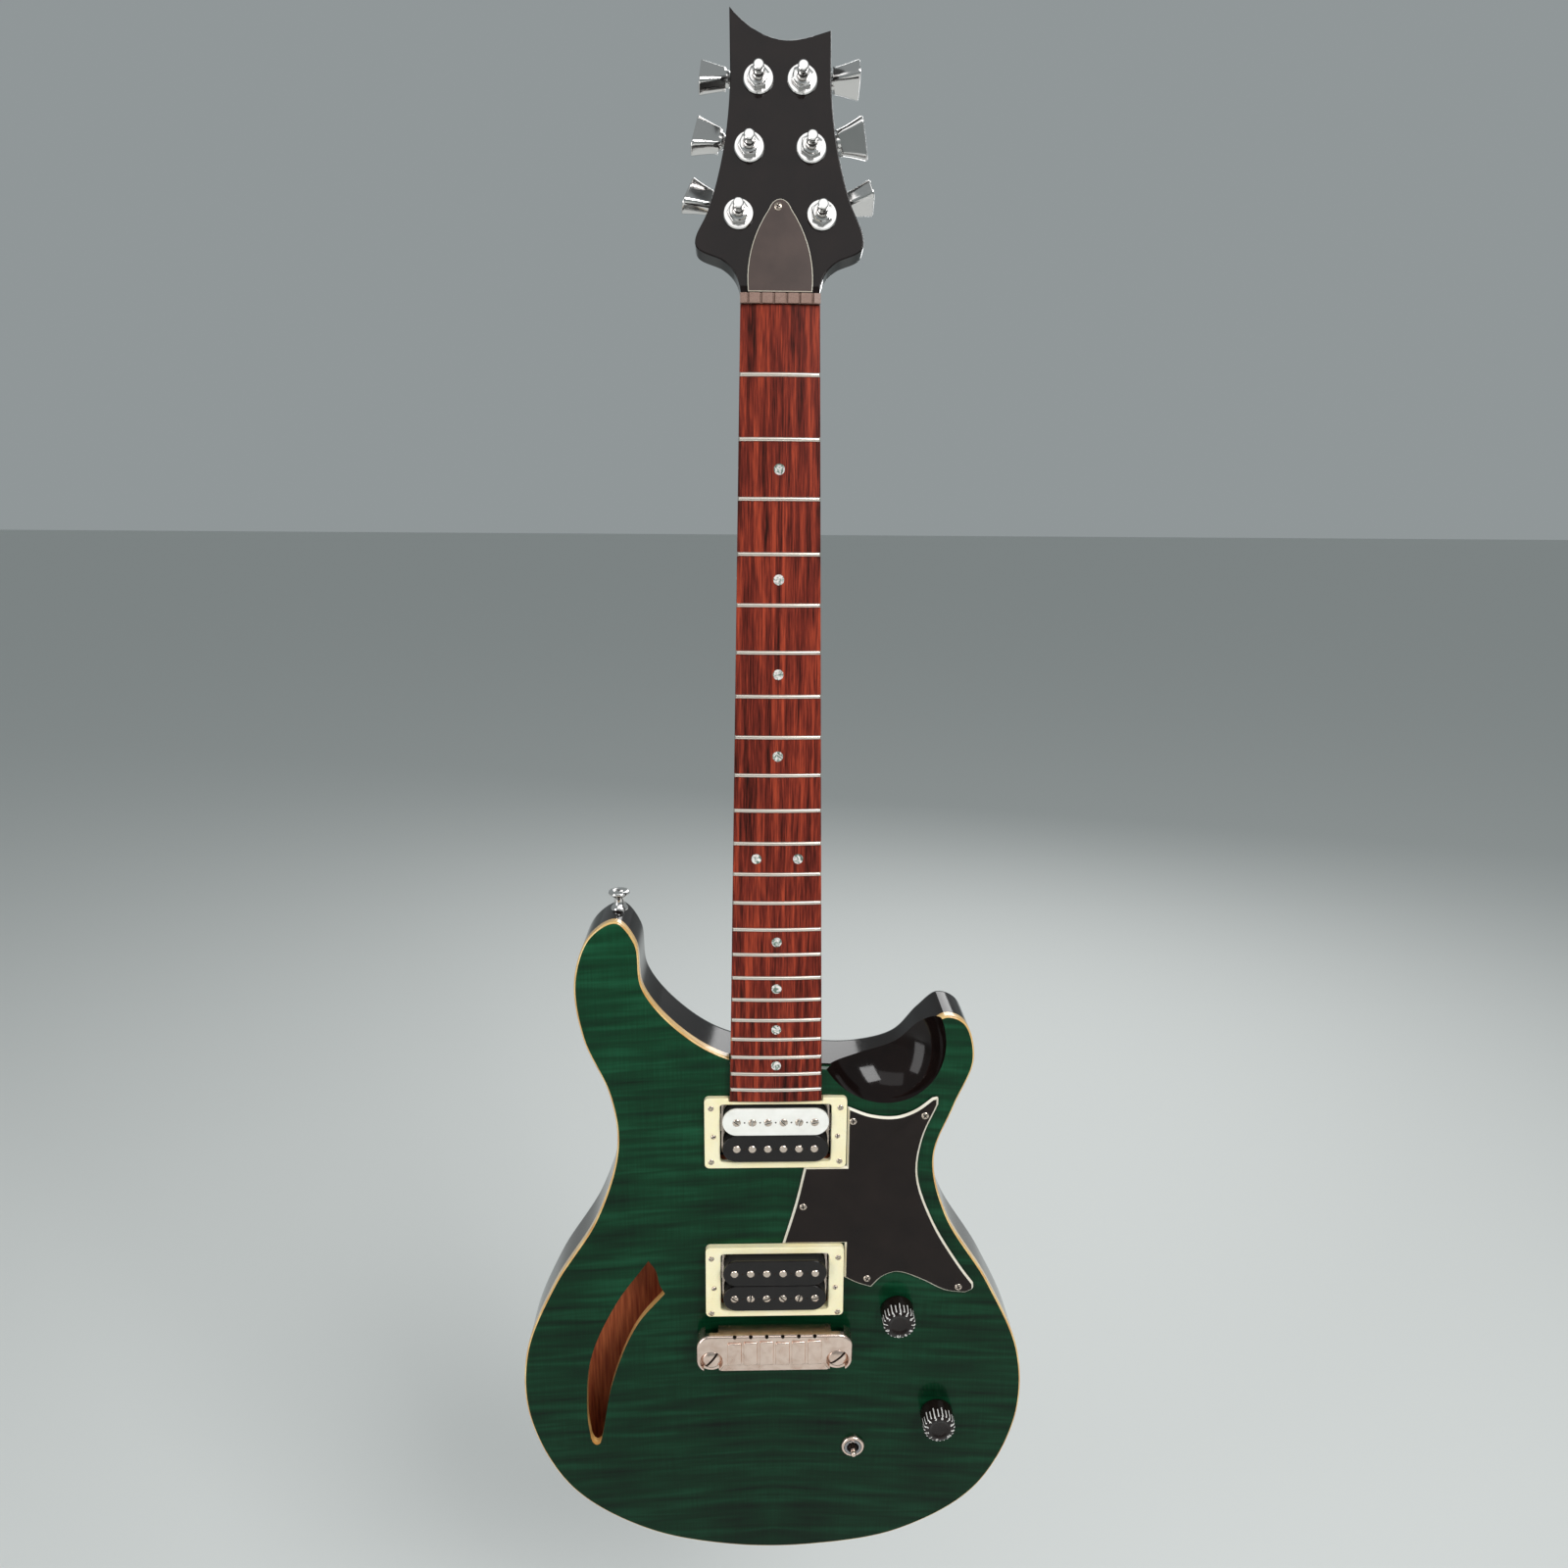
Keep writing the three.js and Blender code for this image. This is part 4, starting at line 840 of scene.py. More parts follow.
# Acrylic sheet, black outside: smooth and shiny, with hairline scratches from picks and cloths that
# scatter the gloss.
black_acrylic, tree, shader, place = finish_named("black_acrylic", Specular_IOR_Level=0.2)
dust = add(tree, "TexNoise", {"Vector": place, "Scale": 1 / (22 * MM), "Detail": 5.0})
tone = add(tree, "ValToRGB", {"Fac": dust.outputs["Fac"]})
tone.color_ramp.elements[0].color = paint("#0d0908")
tone.color_ramp.elements[1].color = paint("#241b18")
tree.links.new(tone.outputs["Color"], shader.inputs["Base Color"])
hair = add(tree, "Mapping", {
    "Vector": place, "Rotation": (0, 0.6, 0), "Scale": (1 / (0.35 * MM), 1, 1 / (16 * MM)),
})
hairlines = add(tree, "TexNoise", {"Vector": hair.outputs[0], "Scale": 1.0, "Detail": 2.0})
dull = add(tree, "MapRange", {"Value": hairlines.outputs["Fac"], "To Min": 0.08, "To Max": 0.24})
tree.links.new(dull.outputs[0], shader.inputs["Roughness"])

# The rod cover's sheet, satin where hands have rubbed it: brown-black, paler than the lacquer.
rubbed_acrylic = drifting(
    "rubbed_acrylic", 14, detail=5.0, colours=("#2a1d19", "#4d3b34"), gloss=(0.26, 0.5),
    Specular_IOR_Level=0.4,
)

# The white under-ply of both sheets, where a bevel cuts through to it; a little yellowed.
white_ply = drifting("white_under_ply", 12, colours=("#d8cdb4", "#f6f2e6"), Roughness=0.4, IOR=1.49)

# Nickel plate on small screws and hardware: warm white metal, a touch cloudy with age.
nickel_plate = drifting(
    "nickel_plate", 3, detail=4.0, gloss=(0.14, 0.34), Base_Color=paint("#d6c6b8"), Metallic=1.0,
)

# What shows in a screw's recess and in small holes: nickel darkened by painted shade, with grime in it.
recess_shade_and_grime = drifting(
    "recess_shade_and_grime", 0.4, colours=("#1a1210", "#4c3a2e"), Roughness=0.7, Metallic=0.4,
)


def cross_screw(radius, rise, turn=0.0, arms=2):
    """A countersunk screw with a domed head and a cross recess, or a slot when it has one arm."""
    dome = [math.radians(a) for a in (30, 50, 68, 80, 90)]
    head = [(0, -rise)] + [(radius * math.sin(turn), -rise * math.cos(turn)) for turn in dome]
    cone = [(radius, 0.25), (radius * 0.45, 0.8 * radius), (0, 0.8 * radius)]
    screw = shaped("screw", spun(head + cone, 28), [nickel_plate])
    cutters = []
    for arm in range(arms):
        length, width = (1.25 * radius, 0.3 * radius) if arms > 1 else (3 * radius, 0.32 * radius)
        arm_turn = Matrix.Rotation(turn + arm * math.pi / 2, 4, "Y")
        bar = brick((length, 0.88 * radius, width), (0, -rise, 0), arm_turn)
        # The recess is coloured dark as painted shade, with some grime.
        cutters.append(shaped("arm", bar, [recess_shade_and_grime]))
    carved(screw, cutters)
    bm = bmesh.new()
    bm.from_mesh(screw.data)
    bm.transform(BODY_SPACE.inverted())
    bpy.data.objects.remove(screw)
    return bm


def screw_set(name, screws, space=BODY_SPACE):
    """Screws that ride together, from (cross_screw, matrix) pairs."""
    return shaped(name, gathered(screws), [nickel_plate, recess_shade_and_grime], space, 40)


rod_cover_line = bezier_run(
    (-17.2, 6.6),
    [(-18.5, 20), (-16, 35), (-6, 50)],
    [(-3.5, 57), (3.5, 57), (6, 50)],
    [(16, 35), (18.5, 20), (17.2, 6.6)],
)
rod_cover_bm = prism(rod_cover_line, -0.3, COVER_FRONT)
for face in rounded(rod_cover_bm, COVER_FRONT, 0.38, 1):
    face.material_index = 1
rod_cover = shaped("rod_cover_plate", rod_cover_bm, [rubbed_acrylic, white_ply], HEAD_SPACE, 25)
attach(rod_cover, "body")
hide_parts("truss_rod_cover")

cover_screw = screw_set(
    "rod_cover_screw", [cross_screw(SCREW_RADIUS, 0.9, 0.4)],
    HEAD_SPACE @ Matrix.Translation((-1.2, COVER_FRONT, 51.2)),
)
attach(cover_screw, "body")


def refinish(node, finish):
    """Gives a CAD node, whose shape stays, its finish."""
    slots = frame["nodes"][node].data.materials
    slots.clear()
    slots.append(finish)


refinish("truss_rod", drawn_steel)


# ---------------------------------------------------------------- tuning machines
# Six die-cast machines with their worm gears sealed inside. A threaded bushing with a hexagon head
# clamps each from the front over a washer; all of it is chrome plated, the buttons too.

# Chrome over nickel on zinc castings: a cool mirror, with hand marks that haze it in patches.
chrome = drifting(
    "chrome_plate", 6, detail=4.0, gloss=(0.04, 0.2), Base_Color=paint("#e2dfdd"), Metallic=1.0,
)

HOUSING_FRONT, HOUSING_BACK = HEAD_THICKNESS + 0.3, 25.2
HOUSING_LIFT = 2.5
HOUSING_SIZE = 18, 20
BUTTON_INNER, BUTTON_LENGTH = 18.0, 14.5
BUTTON_TURNS = {"bass": (35, 20, 30), "treble": (78, 25, 80)}
WASHER_PROFILE = [(3.4, -0.02), (8.2, -0.02), (8.2, -0.7), (7.7, -1.3), (3.4, -1.5), (3.4, -0.02)]
COLLAR_PROFILE = [(3.25, -1.4), (5.2, -3.6), (4.7, -4.5), (3.6, -4.7), (3.25, -4.3), (3.25, -1.4)]
POST_PROFILE = [
    (0, -14.2), (2.3, -14.2), (2.8, -13.8), (2.9, -13.2), (2.75, -11.8), (2.3, -10.6), (2.25, -8.2),
    (2.5, -7.2), (3, -6), (3, 14), (0, 14),
]
WORM_SHAFT_PROFILE = [
    (0, 4), (1.8, 4), (1.8, 10.8), (3.1, 10.8), (3.5, 11.3), (3.5, 12.3), (3.1, 12.8), (2.4, 12.9),
    (2.4, 15.2), (3.2, 15.5), (4.2, 16.4), (4.4, 17.2), (4.4, 18.6), (0, 18.6),
]
joints = {joint["name"]: joint for joint in frame["joints"]}


def machine_space(label):
    """X runs out along the worm, Y back along the post, and the post's foot is the origin."""
    out = Vector(joints[f"button_turn_{label}"]["axis"])
    back = Vector(joints[f"post_turn_{label}"]["axis"])
    turn = Matrix((out, back, out.cross(back))).transposed().to_4x4()
    return Matrix.Translation(joints[f"post_turn_{label}"]["pos_m"]) @ turn @ BODY_SPACE


def across(bm):
    """Turns a spun shape so that its axis runs along +X, with what was its front end innermost."""
    bm.transform(Matrix.Rotation(-math.pi / 2, 4, "Z"))
    return bm


def softened(bm, edges, width, segments, clamp_overlap=False):
    """Rounds edges of a bmesh over."""
    bmesh.ops.bevel(
        bm, geom=edges, offset=width, affect="EDGES", segments=segments, profile=0.5,
        clamp_overlap=clamp_overlap, material=-1,
    )


def button_grip():
    """The flared grip: a soft bar that widens outwards, with eased ends."""
    bm = prism(rounded_box(22.5, 11, 3.6, steps=5), 0, 1, steps=10)
    for vert in bm.verts:
        wide, t, thick = vert.co
        spread = 0.58 + 0.42 * t**1.3
        vert.co = (BUTTON_INNER + t * BUTTON_LENGTH, thick * (0.72 + 0.28 * t), wide * spread)
    for end, radius in ((BUTTON_INNER, 1.6), (BUTTON_INNER + BUTTON_LENGTH, 1.0)):
        rim = [edge for edge in bm.edges if all(abs(v.co.x - end) < 1e-3 for v in edge.verts)]
        softened(bm, rim, radius, 4, clamp_overlap=True)
    return bm


for side_name, side in (("bass", -1), ("treble", 1)):
    for row in range(3):
        label = f"{side_name}_{row + 1}"
        space = machine_space(label)
        worm = Vector(joints[f"button_turn_{label}"]["pos_m"])
        worm_depth, lift = (space.inverted() @ worm)[1:]

        case_line = rounded_box(*HOUSING_SIZE, 4.5, 0, side * HOUSING_LIFT)
        case = prism(case_line, HOUSING_FRONT, HOUSING_BACK)
        rounded(case, HOUSING_BACK, 2.6, 6)
        boss = across(spun([(0, 2), (4.6, 2), (4.6, 10.6), (3.9, 11.4), (0, 11.4)], 36))
        tab_line = rounded_box(7, 7, 3.4, -4.5, side * (HOUSING_LIFT - 12))
        tab = prism(tab_line, HOUSING_FRONT, HOUSING_FRONT + 2)
        rounded(tab, HOUSING_FRONT + 2, 0.5, 3)
        lid = spun([
            (0, HOUSING_BACK - 0.2), (6.4, HOUSING_BACK - 0.2), (6.4, HOUSING_BACK - 0.05),
            (0, HOUSING_BACK),
        ], 40)
        screw_at = Matrix.Translation((-4.5, HOUSING_FRONT + 2, side * (HOUSING_LIFT - 12.6)))
        housing = shaped(f"machine_case_{label}", gathered([
            case,
            (boss, Matrix.Translation((0, worm_depth, lift))),
            tab,
            (lid, Matrix.Translation((0, 0, side * HOUSING_LIFT))),
            (cross_screw(1.9, 0.7, 0.3 + row), screw_at @ Matrix.Rotation(math.pi, 4, "X")),
        ]), [chrome, recess_shade_and_grime], space)
        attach(housing, "body")
        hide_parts(f"tuner_housing_{label}")

        washer = spun(WASHER_PROFILE, 56)
        hexagon = bmesh.new()
        disc(hexagon, 6.3, 2.6, Matrix.Translation((0, -2.5, 0)), 6)
        softened(hexagon, hexagon.edges[:], 0.45, 3)
        collar = spun(COLLAR_PROFILE, 40)
        bushing = shaped(f"machine_bushing_{label}", gathered([
            washer, (hexagon, Matrix.Rotation(0.3 + row, 4, "Y")), collar,
        ]), [chrome], space)
        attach(bushing, "body")
        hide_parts(f"tuner_bushing_{label}")

        post_bm = spun(POST_PROFILE, 40)
        string_hole = bmesh.new()
        bmesh.ops.create_cone(
            string_hole, cap_ends=True, segments=20, radius1=0.9, radius2=0.9, depth=12,
            matrix=Matrix.Translation((0, -9.6, 0)),
        )
        post = shaped(f"string_post_{label}", post_bm, [chrome], space)
        # The string hole's inside is coloured dark as painted shade, with some grime.
        carved(post, [shaped("string_hole", string_hole, [recess_shade_and_grime], space)])
        flattened(post)
        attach(post, f"post_{label}")
        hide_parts(f"tuner_post_{label}")

        shaft = across(spun(WORM_SHAFT_PROFILE, 40))
        turn = Matrix.Rotation(math.radians(BUTTON_TURNS[side_name][row]), 4, "X")
        button = shaped(
            f"tuner_grip_{label}", gathered([shaft, (button_grip(), turn)]), [chrome],
            Matrix.Translation(worm) @ space.to_3x3().to_4x4(), 28,
        )
        flattened(button, 28)
        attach(button, f"button_{label}")
        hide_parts(f"tuner_button_{label}")


# ---------------------------------------------------------------- pickguard
# Cut from three-ply sheet, black over white, 2.4 mm thick, with a wide bevel that shows the white
# ply as an outline. Five small countersunk screws hold it flat on the top.

GUARD_FRONT, GUARD_BACK = TOP_Y - 2.5, TOP_Y - 0.1
GUARD_BEVEL = 1.3
GUARD_SCREWS = [(48.8, 480.9), (94.2, 477.4), (18.0, 541.6), (60.4, 595.2), (120.7, 602.5)]
RING_WIDTH, RING_HEIGHT = 89.4, 49.0
guard_edge = RING_WIDTH / 2 + 0.6
neck_ring_low = PICKUP_STATIONS["neck"] + RING_HEIGHT / 2 + 0.6
bridge_ring_high = PICKUP_STATIONS["bridge"] - RING_HEIGHT / 2 - 0.6

guard_line = joined_lines([
    ((guard_edge, 471), (60, 476.8), (76, 478), (88, 473.6), (98.5, 465.3)),
    ((98.5, 465.3), (101.8, 465), (102.3, 470)),
    ((102.3, 470), (93.3, 494), (91, 520), (102.4, 554), (121, 586.5), (130.5, 600)),
    ((130.5, 600), (130.5, 604.5), (125.5, 607.5)),
    ((125.5, 607.5), (112, 605.5), (96, 597), (80, 591.2), (70.5, 594.6), (63.2, 602.4)),
    ((63.2, 602.4), (54, 599.2), (guard_edge, 594.5)),
    ((guard_edge, 594.5), (guard_edge, bridge_ring_high)),
    ((guard_edge, bridge_ring_high), (5, bridge_ring_high)),
    ((5, bridge_ring_high), (13, 539.5), (18.6, neck_ring_low)),
    ((18.6, neck_ring_low), (guard_edge, neck_ring_low)),
    ((guard_edge, neck_ring_low), (guard_edge, 471)),
], 6)
guard_bm = prism(guard_line, GUARD_BACK, GUARD_FRONT)
for face in rounded(guard_bm, GUARD_FRONT, GUARD_BEVEL, 1):
    face.material_index = 1
bmesh.ops.remove_doubles(guard_bm, verts=guard_bm.verts[:], dist=0.02)
bmesh.ops.triangulate(
    guard_bm, faces=[face for face in guard_bm.faces if len(face.verts) > 4], ngon_method="BEAUTY",
)
pickguard = shaped("pickguard_plate", guard_bm, [black_acrylic, white_ply], BODY_SPACE, 20)
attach(pickguard, "body")
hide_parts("pickguard")

guard_screw_set = screw_set("pickguard_screws", [
    (cross_screw(2.4, 0.8, 0.7 * i), Matrix.Translation((x, GUARD_FRONT, at(station))))
    for i, (x, station) in enumerate(GUARD_SCREWS)
])
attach(guard_screw_set, "body")


# ---------------------------------------------------------------- pickups and their rings
# Two open-coil humbuckers in moulded rings. Each has two bobbins taped round their coils on a nickel
# tray, one with plain slugs and one with slotted screws; screws in the ring set its height.

BOBBIN_LENGTH, BOBBIN_WIDTH, BOBBIN_HEIGHT, BOBBIN_PITCH = 66.6, 18.2, 12.0, 18.5
FLANGE = 1.7
MOULD_HOLE_RADIUS = 0.55
SLUG_PROFILE = [(0, -0.45), (2.1, -0.45), (2.42, -0.15), (2.42, 1), (0, 1)]
RING_OPENING = (69.8, 40.0)
PICKUPS = {
    "neck": {
        "front": (4.1, 4.1), "top": 7.5, "pole_pitch": 9.74, "screw_row": "upper",
        "ring_screws": (40.5, 470.3, 507.8), "height_screws": (39.0, 489.9),
    },
    "bridge": {
        "front": (5.1, 8.0), "top": 11.0, "pole_pitch": 10.4, "screw_row": "lower",
        "ring_screws": (41.0, 577.0, 616.0), "height_screws": (39.3, 598.0),
    },
}

# Moulded cream ABS: satin gloss, yellowed a little unevenly, faintly translucent.
cream_abs, tree, shader, place = finish_named(
    "cream_abs", IOR=1.46, Subsurface_Weight=0.15, Subsurface_Radius=(0.002, 0.0015, 0.0008),
)
age = add(tree, "TexNoise", {"Vector": place, "Scale": 1 / (25 * MM), "Detail": 3.0})
tone = add(tree, "ValToRGB", {"Fac": age.outputs["Fac"]})
tone.color_ramp.elements[0].color = paint("#f3e3aa")
tone.color_ramp.elements[1].color = paint("#fdf7dc")
tree.links.new(tone.outputs["Color"], shader.inputs["Base Color"])
touch = add(tree, "TexNoise", {"Vector": place, "Scale": 1 / (1.2 * MM), "Detail": 3.0})
dull = add(tree, "MapRange", {"Value": touch.outputs["Fac"], "To Min": 0.2, "To Max": 0.4})
tree.links.new(dull.outputs[0], shader.inputs["Roughness"])

# Bobbin plastic, moulded and glossy with a faint flow ripple, in white and in black.
bobbin_finishes = {}
for colour_name, codes in (("white", ("#e4e2da", "#fbfaf5")), ("black", ("#0c0a0a", "#1d1918"))):
    bobbin_finishes[colour_name] = drifting(
        f"{colour_name}_bobbin_abs", 8, colours=codes, gloss=(0.12, 0.26), Specular_IOR_Level=0.35,
    )

# Black cloth tape round the coils: matt, with its 0.5 mm weave drawn as a fine ripple.
coil_tape, tree, shader, place = finish_named("coil_tape", Base_Color=paint("#161413"), Roughness=0.75)
weave = add(tree, "TexWave", {
    "Vector": place, "Scale": 1 / (3 * MM), "Distortion": 1.0,
}, bands_direction="Y")
bump = add(tree, "Bump", {"Strength": 0.4, "Distance": 0.1 * MM, "Height": weave.outputs["Fac"]})
tree.links.new(bump.outputs["Normal"], shader.inputs["Normal"])

for name, setup in PICKUPS.items():
    station = PICKUP_STATIONS[name]
    upper_front, lower_front = setup["front"]

    def ring_depth(z):
        share = (at(station) + RING_HEIGHT / 2 - z) / RING_HEIGHT
        return TOP_Y - upper_front - (lower_front - upper_front) * share

    ring_bm = prism(rounded_box(RING_WIDTH, RING_HEIGHT, 3, 0, at(station)), TOP_Y - 0.02, TOP_Y - 1)
    for vert in ring_bm.verts:
        if vert.co.y < TOP_Y - 0.5:
            vert.co.y = ring_depth(vert.co.z)
    ring = shaped(f"{name}_ring", ring_bm, [cream_abs])
    opening = prism(rounded_box(*RING_OPENING, 2, 0, at(station)), TOP_Y - 15, TOP_Y + 5)
    openings = [shaped("opening", opening, [cream_abs])]
    if name == "neck":
        notch = brick((58.6, 10, 21), (0, TOP_Y - 5.3, at(station) + RING_HEIGHT / 2 + 8))
        openings.append(shaped("notch", notch, [cream_abs]))
    carved(ring, openings)
    eased(ring, 0.7, 3)
    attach(ring, "body")
    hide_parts(f"{name}_pickup_ring")

    lean = Matrix.Rotation(math.atan((lower_front - upper_front) / RING_HEIGHT), 4, "X")
    corner_x, *corner_stations = setup["ring_screws"]
    corners = [(x, at(s)) for x in (-corner_x, corner_x) for s in corner_stations]
    screws = [
        (cross_screw(1.9, 0.6, 0.9 * i + 0.2), Matrix.Translation((x, ring_depth(z) - 0.05, z)) @ lean)
        for i, (x, z) in enumerate(corners)
    ]
    height_x, z = setup["height_screws"][0], at(setup["height_screws"][1])
    for side in (-1, 1):
        screw_at = Matrix.Translation((side * height_x, ring_depth(z) - 0.1, z))
        screws.append((cross_screw(1.6, 0.9, 0.5 + side, arms=1), screw_at))
    ring_screws = screw_set(f"{name}_ring_screws", screws)
    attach(ring_screws, "body")

    top = TOP_Y - setup["top"]
    for row, side in (("upper", 1), ("lower", -1)):
        centre_z = at(station) + side * BOBBIN_PITCH / 2 + 0.3
        colour_name = "white" if (name, row) == ("neck", "upper") else "black"
        end_radius = BOBBIN_WIDTH / 2 - 0.05
        stadium = rounded_box(BOBBIN_LENGTH, BOBBIN_WIDTH, end_radius, 0, centre_z, steps=14)
        flange = prism(stadium, top + FLANGE, top)
        rounded(flange, top, 0.55, 3)
        foot = prism(stadium, top + BOBBIN_HEIGHT - 1, top + BOBBIN_HEIGHT)
        bobbin_plate = shaped("flange", gathered([flange, foot]), [bobbin_finishes[colour_name]])
        pole_x = [(i - 2.5) * setup["pole_pitch"] for i in range(6)]
        holes = bmesh.new()
        for x in pole_x[:-1]:
            hole_at = Matrix.Translation((x + setup["pole_pitch"] / 2, top, centre_z))
            disc(holes, MOULD_HOLE_RADIUS, 0.6, hole_at, 12)
        # The mould holes are coloured dark as painted shade, with some grime.
        carved(bobbin_plate, [shaped("holes", holes, [recess_shade_and_grime])])
        coil_bm = prism(moved_in(stadium, 0.25), top + FLANGE - 0.1, top + BOBBIN_HEIGHT - 0.9)
        bobbin = carved(bobbin_plate, [shaped("coil", coil_bm, [coil_tape])], "UNION")
        bobbin.name = f"{name}_bobbin_{row}"
        flattened(bobbin)
        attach(bobbin, f"{name}_pickup")
        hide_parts(f"{name}_pickup_bobbin_{row}")

        poles = []
        for i, x in enumerate(pole_x):
            pole_at = Matrix.Translation((x, top, centre_z))
            if row == setup["screw_row"]:
                poles.append((cross_screw(2.55, 0.9, 0.6 + 1.1 * i, arms=1), pole_at))
            else:
                poles.append((spun(SLUG_PROFILE, 28), pole_at))
        pole_set = screw_set(f"{name}_poles_{row}", poles)
        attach(pole_set, f"{name}_pickup")

    refinish(f"{name}_pickup_baseplate", nickel_plate)


# ---------------------------------------------------------------- bridge
# A one-piece wrap-around bridge, cast in zinc and nickel plated, whose bar hooks under the heads of
# two studs. Six stepped pads set each string's length, and the strings enter along the upper edge.

SHOULDER_X, SHOULDER_STATION, SHOULDER_RADIUS = 41.7, 636.2, 9
BRIDGE_FRONT, BRIDGE_UNDER = TOP_Y - 16, TOP_Y - 5
APRON_STATION = 649.0
STUD_X, STUD_STATION = 41.1, 646.0
STUD_RECESS = 7.5
STRING_PITCH = 10.4
ENTRY_STATION = 627.3
SET_SCREW_AT = (42, 629.3)
PAD_STATION, PAD_STEP, PAD_END = 629.2, 0.55, 648.6
PLAIN_STRING_STEP = 1.4
PAD_RISE = 1.4
PAD_LEAN = 0.09
PAD_GAP = 1.2
PAD_EASE = 0.9
LOBE_X, LOBE_RADIUS = 41.2, 9.5

# Nickel plate worn by hands and polish: warm, pinkish and satin, with cloudy tarnish and fine pits
# 1 mm or less across.
worn_nickel, tree, shader, place = finish_named("worn_nickel", Metallic=1.0)
stains = add(tree, "TexNoise", {
    "Vector": place, "Scale": 1 / (7 * MM), "Detail": 4.0, "Distortion": 0.5,
})
tone = add(tree, "ValToRGB", {"Fac": stains.outputs["Fac"]})
tone.color_ramp.elements[0].position = 0.3
tone.color_ramp.elements[0].color = paint("#dcc0b0")
tone.color_ramp.elements[1].position = 0.6
tone.color_ramp.elements[1].color = paint("#eed7c9")
tree.links.new(tone.outputs["Color"], shader.inputs["Base Color"])
pits = add(tree, "TexNoise", {"Vector": place, "Scale": 1 / (0.8 * MM), "Detail": 3.0})
dull = add(tree, "MapRange", {
    "Value": stains.outputs["Fac"], "From Min": 0.3, "From Max": 0.7, "To Min": 0.28, "To Max": 0.2,
})
tree.links.new(dull.outputs[0], shader.inputs["Roughness"])
bump = add(tree, "Bump", {"Strength": 0.2, "Distance": 0.15 * MM, "Height": pits.outputs["Fac"]})
tree.links.new(bump.outputs["Normal"], shader.inputs["Normal"])


def arc(x, station, radius, start, end, steps=14):
    """Points on an arc between two angles in degrees, counted from +X towards +Z."""
    turns = [math.radians(start + (end - start) * step / steps) for step in range(steps + 1)]
    z = at(station)
    return [Vector((x + radius * math.cos(turn), z + radius * math.sin(turn))) for turn in turns]


bar_line = (
    arc(SHOULDER_X, SHOULDER_STATION, SHOULDER_RADIUS, 90, 0)
    + arc(LOBE_X, STUD_STATION, LOBE_RADIUS, -2, -156)
    + arc(-LOBE_X, STUD_STATION, LOBE_RADIUS, -24, -178)
    + arc(-SHOULDER_X, SHOULDER_STATION, SHOULDER_RADIUS, 180, 90)
)
bar_bm = soft_prism(bar_line, BRIDGE_UNDER, BRIDGE_FRONT, 1.8, 6)
bridge = shaped("bridge_bar", bar_bm, [worn_nickel])
apron_line = rounded_box(74, 16, 3, 0, at(APRON_STATION))
apron_bm = soft_prism(apron_line, BRIDGE_UNDER, BRIDGE_FRONT + 3.5, 1.4, 4)
pads = []
for i in range(6):
    upper, lower = PAD_STATION + (5 - i) * PAD_STEP + (0 if i < 3 else PLAIN_STRING_STEP), PAD_END
    x = (i - 2.5) * STRING_PITCH
    pad_bm = prism(
        rounded_box(STRING_PITCH - PAD_GAP, lower - upper, 1.2, x, at((upper + lower) / 2)),
        BRIDGE_FRONT + 3, BRIDGE_FRONT - PAD_RISE,
    )
    rounded(pad_bm, BRIDGE_FRONT - PAD_RISE, PAD_EASE, 4)
    for vert in pad_bm.verts:
        if vert.co.y < BRIDGE_FRONT:
            vert.co.y += 0.4 + PAD_LEAN * (vert.co.x - x)
    pads.append(shaped("pad", pad_bm, [worn_nickel]))
carved(bridge, [shaped("apron", apron_bm, [worn_nickel])] + pads, "UNION")
hollows = []
for x in (-STUD_X, STUD_X):
    under_head = TOP_Y - 12
    seat = Matrix.Translation((x, 0, at(STUD_STATION)))
    wide = plug(STUD_RECESS, BRIDGE_FRONT - 2, under_head, 48)
    shank = plug(4.3, BRIDGE_FRONT - 2, TOP_Y, 32)
    mouth = brick((8.6, 8, 26), (0, TOP_Y - 8, 13))
    gate = brick((10, under_head - BRIDGE_FRONT + 2, 12), (0, (BRIDGE_FRONT - 2 + under_head) / 2, -6))
    for cutter_bm in (wide, shank, mouth, gate):
        hollows.append(shaped("hollow", cutter_bm, [worn_nickel], BODY_SPACE @ seat))
for i in range(6):
    entry = Matrix.Translation(((i - 2.5) * STRING_PITCH, BRIDGE_FRONT - 0.2, at(ENTRY_STATION)))
    entry = BODY_SPACE @ entry @ Matrix.Rotation(-0.75, 4, "X")
    # The string entries are coloured dark inside as painted shade, with some grime.
    hollows.append(shaped("string_entry", plug(1.25, 0, 4.5, 20), [recess_shade_and_grime], entry))
carved(bridge, hollows)
eased(bridge, 0.3, 2, 40)
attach(bridge, "bridge")
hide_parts("bridge")

set_screws = []
for side in (-1, 1):
    screw_at = Matrix.Translation((side * SET_SCREW_AT[0], BRIDGE_FRONT + 0.9, at(SET_SCREW_AT[1])))
    set_screws.append((cross_screw(1.3, 0.4, 0.6, arms=1), screw_at @ Matrix.Rotation(-0.6, 4, "X")))
set_screws = screw_set("bridge_set_screws", set_screws)
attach(set_screws, "bridge")

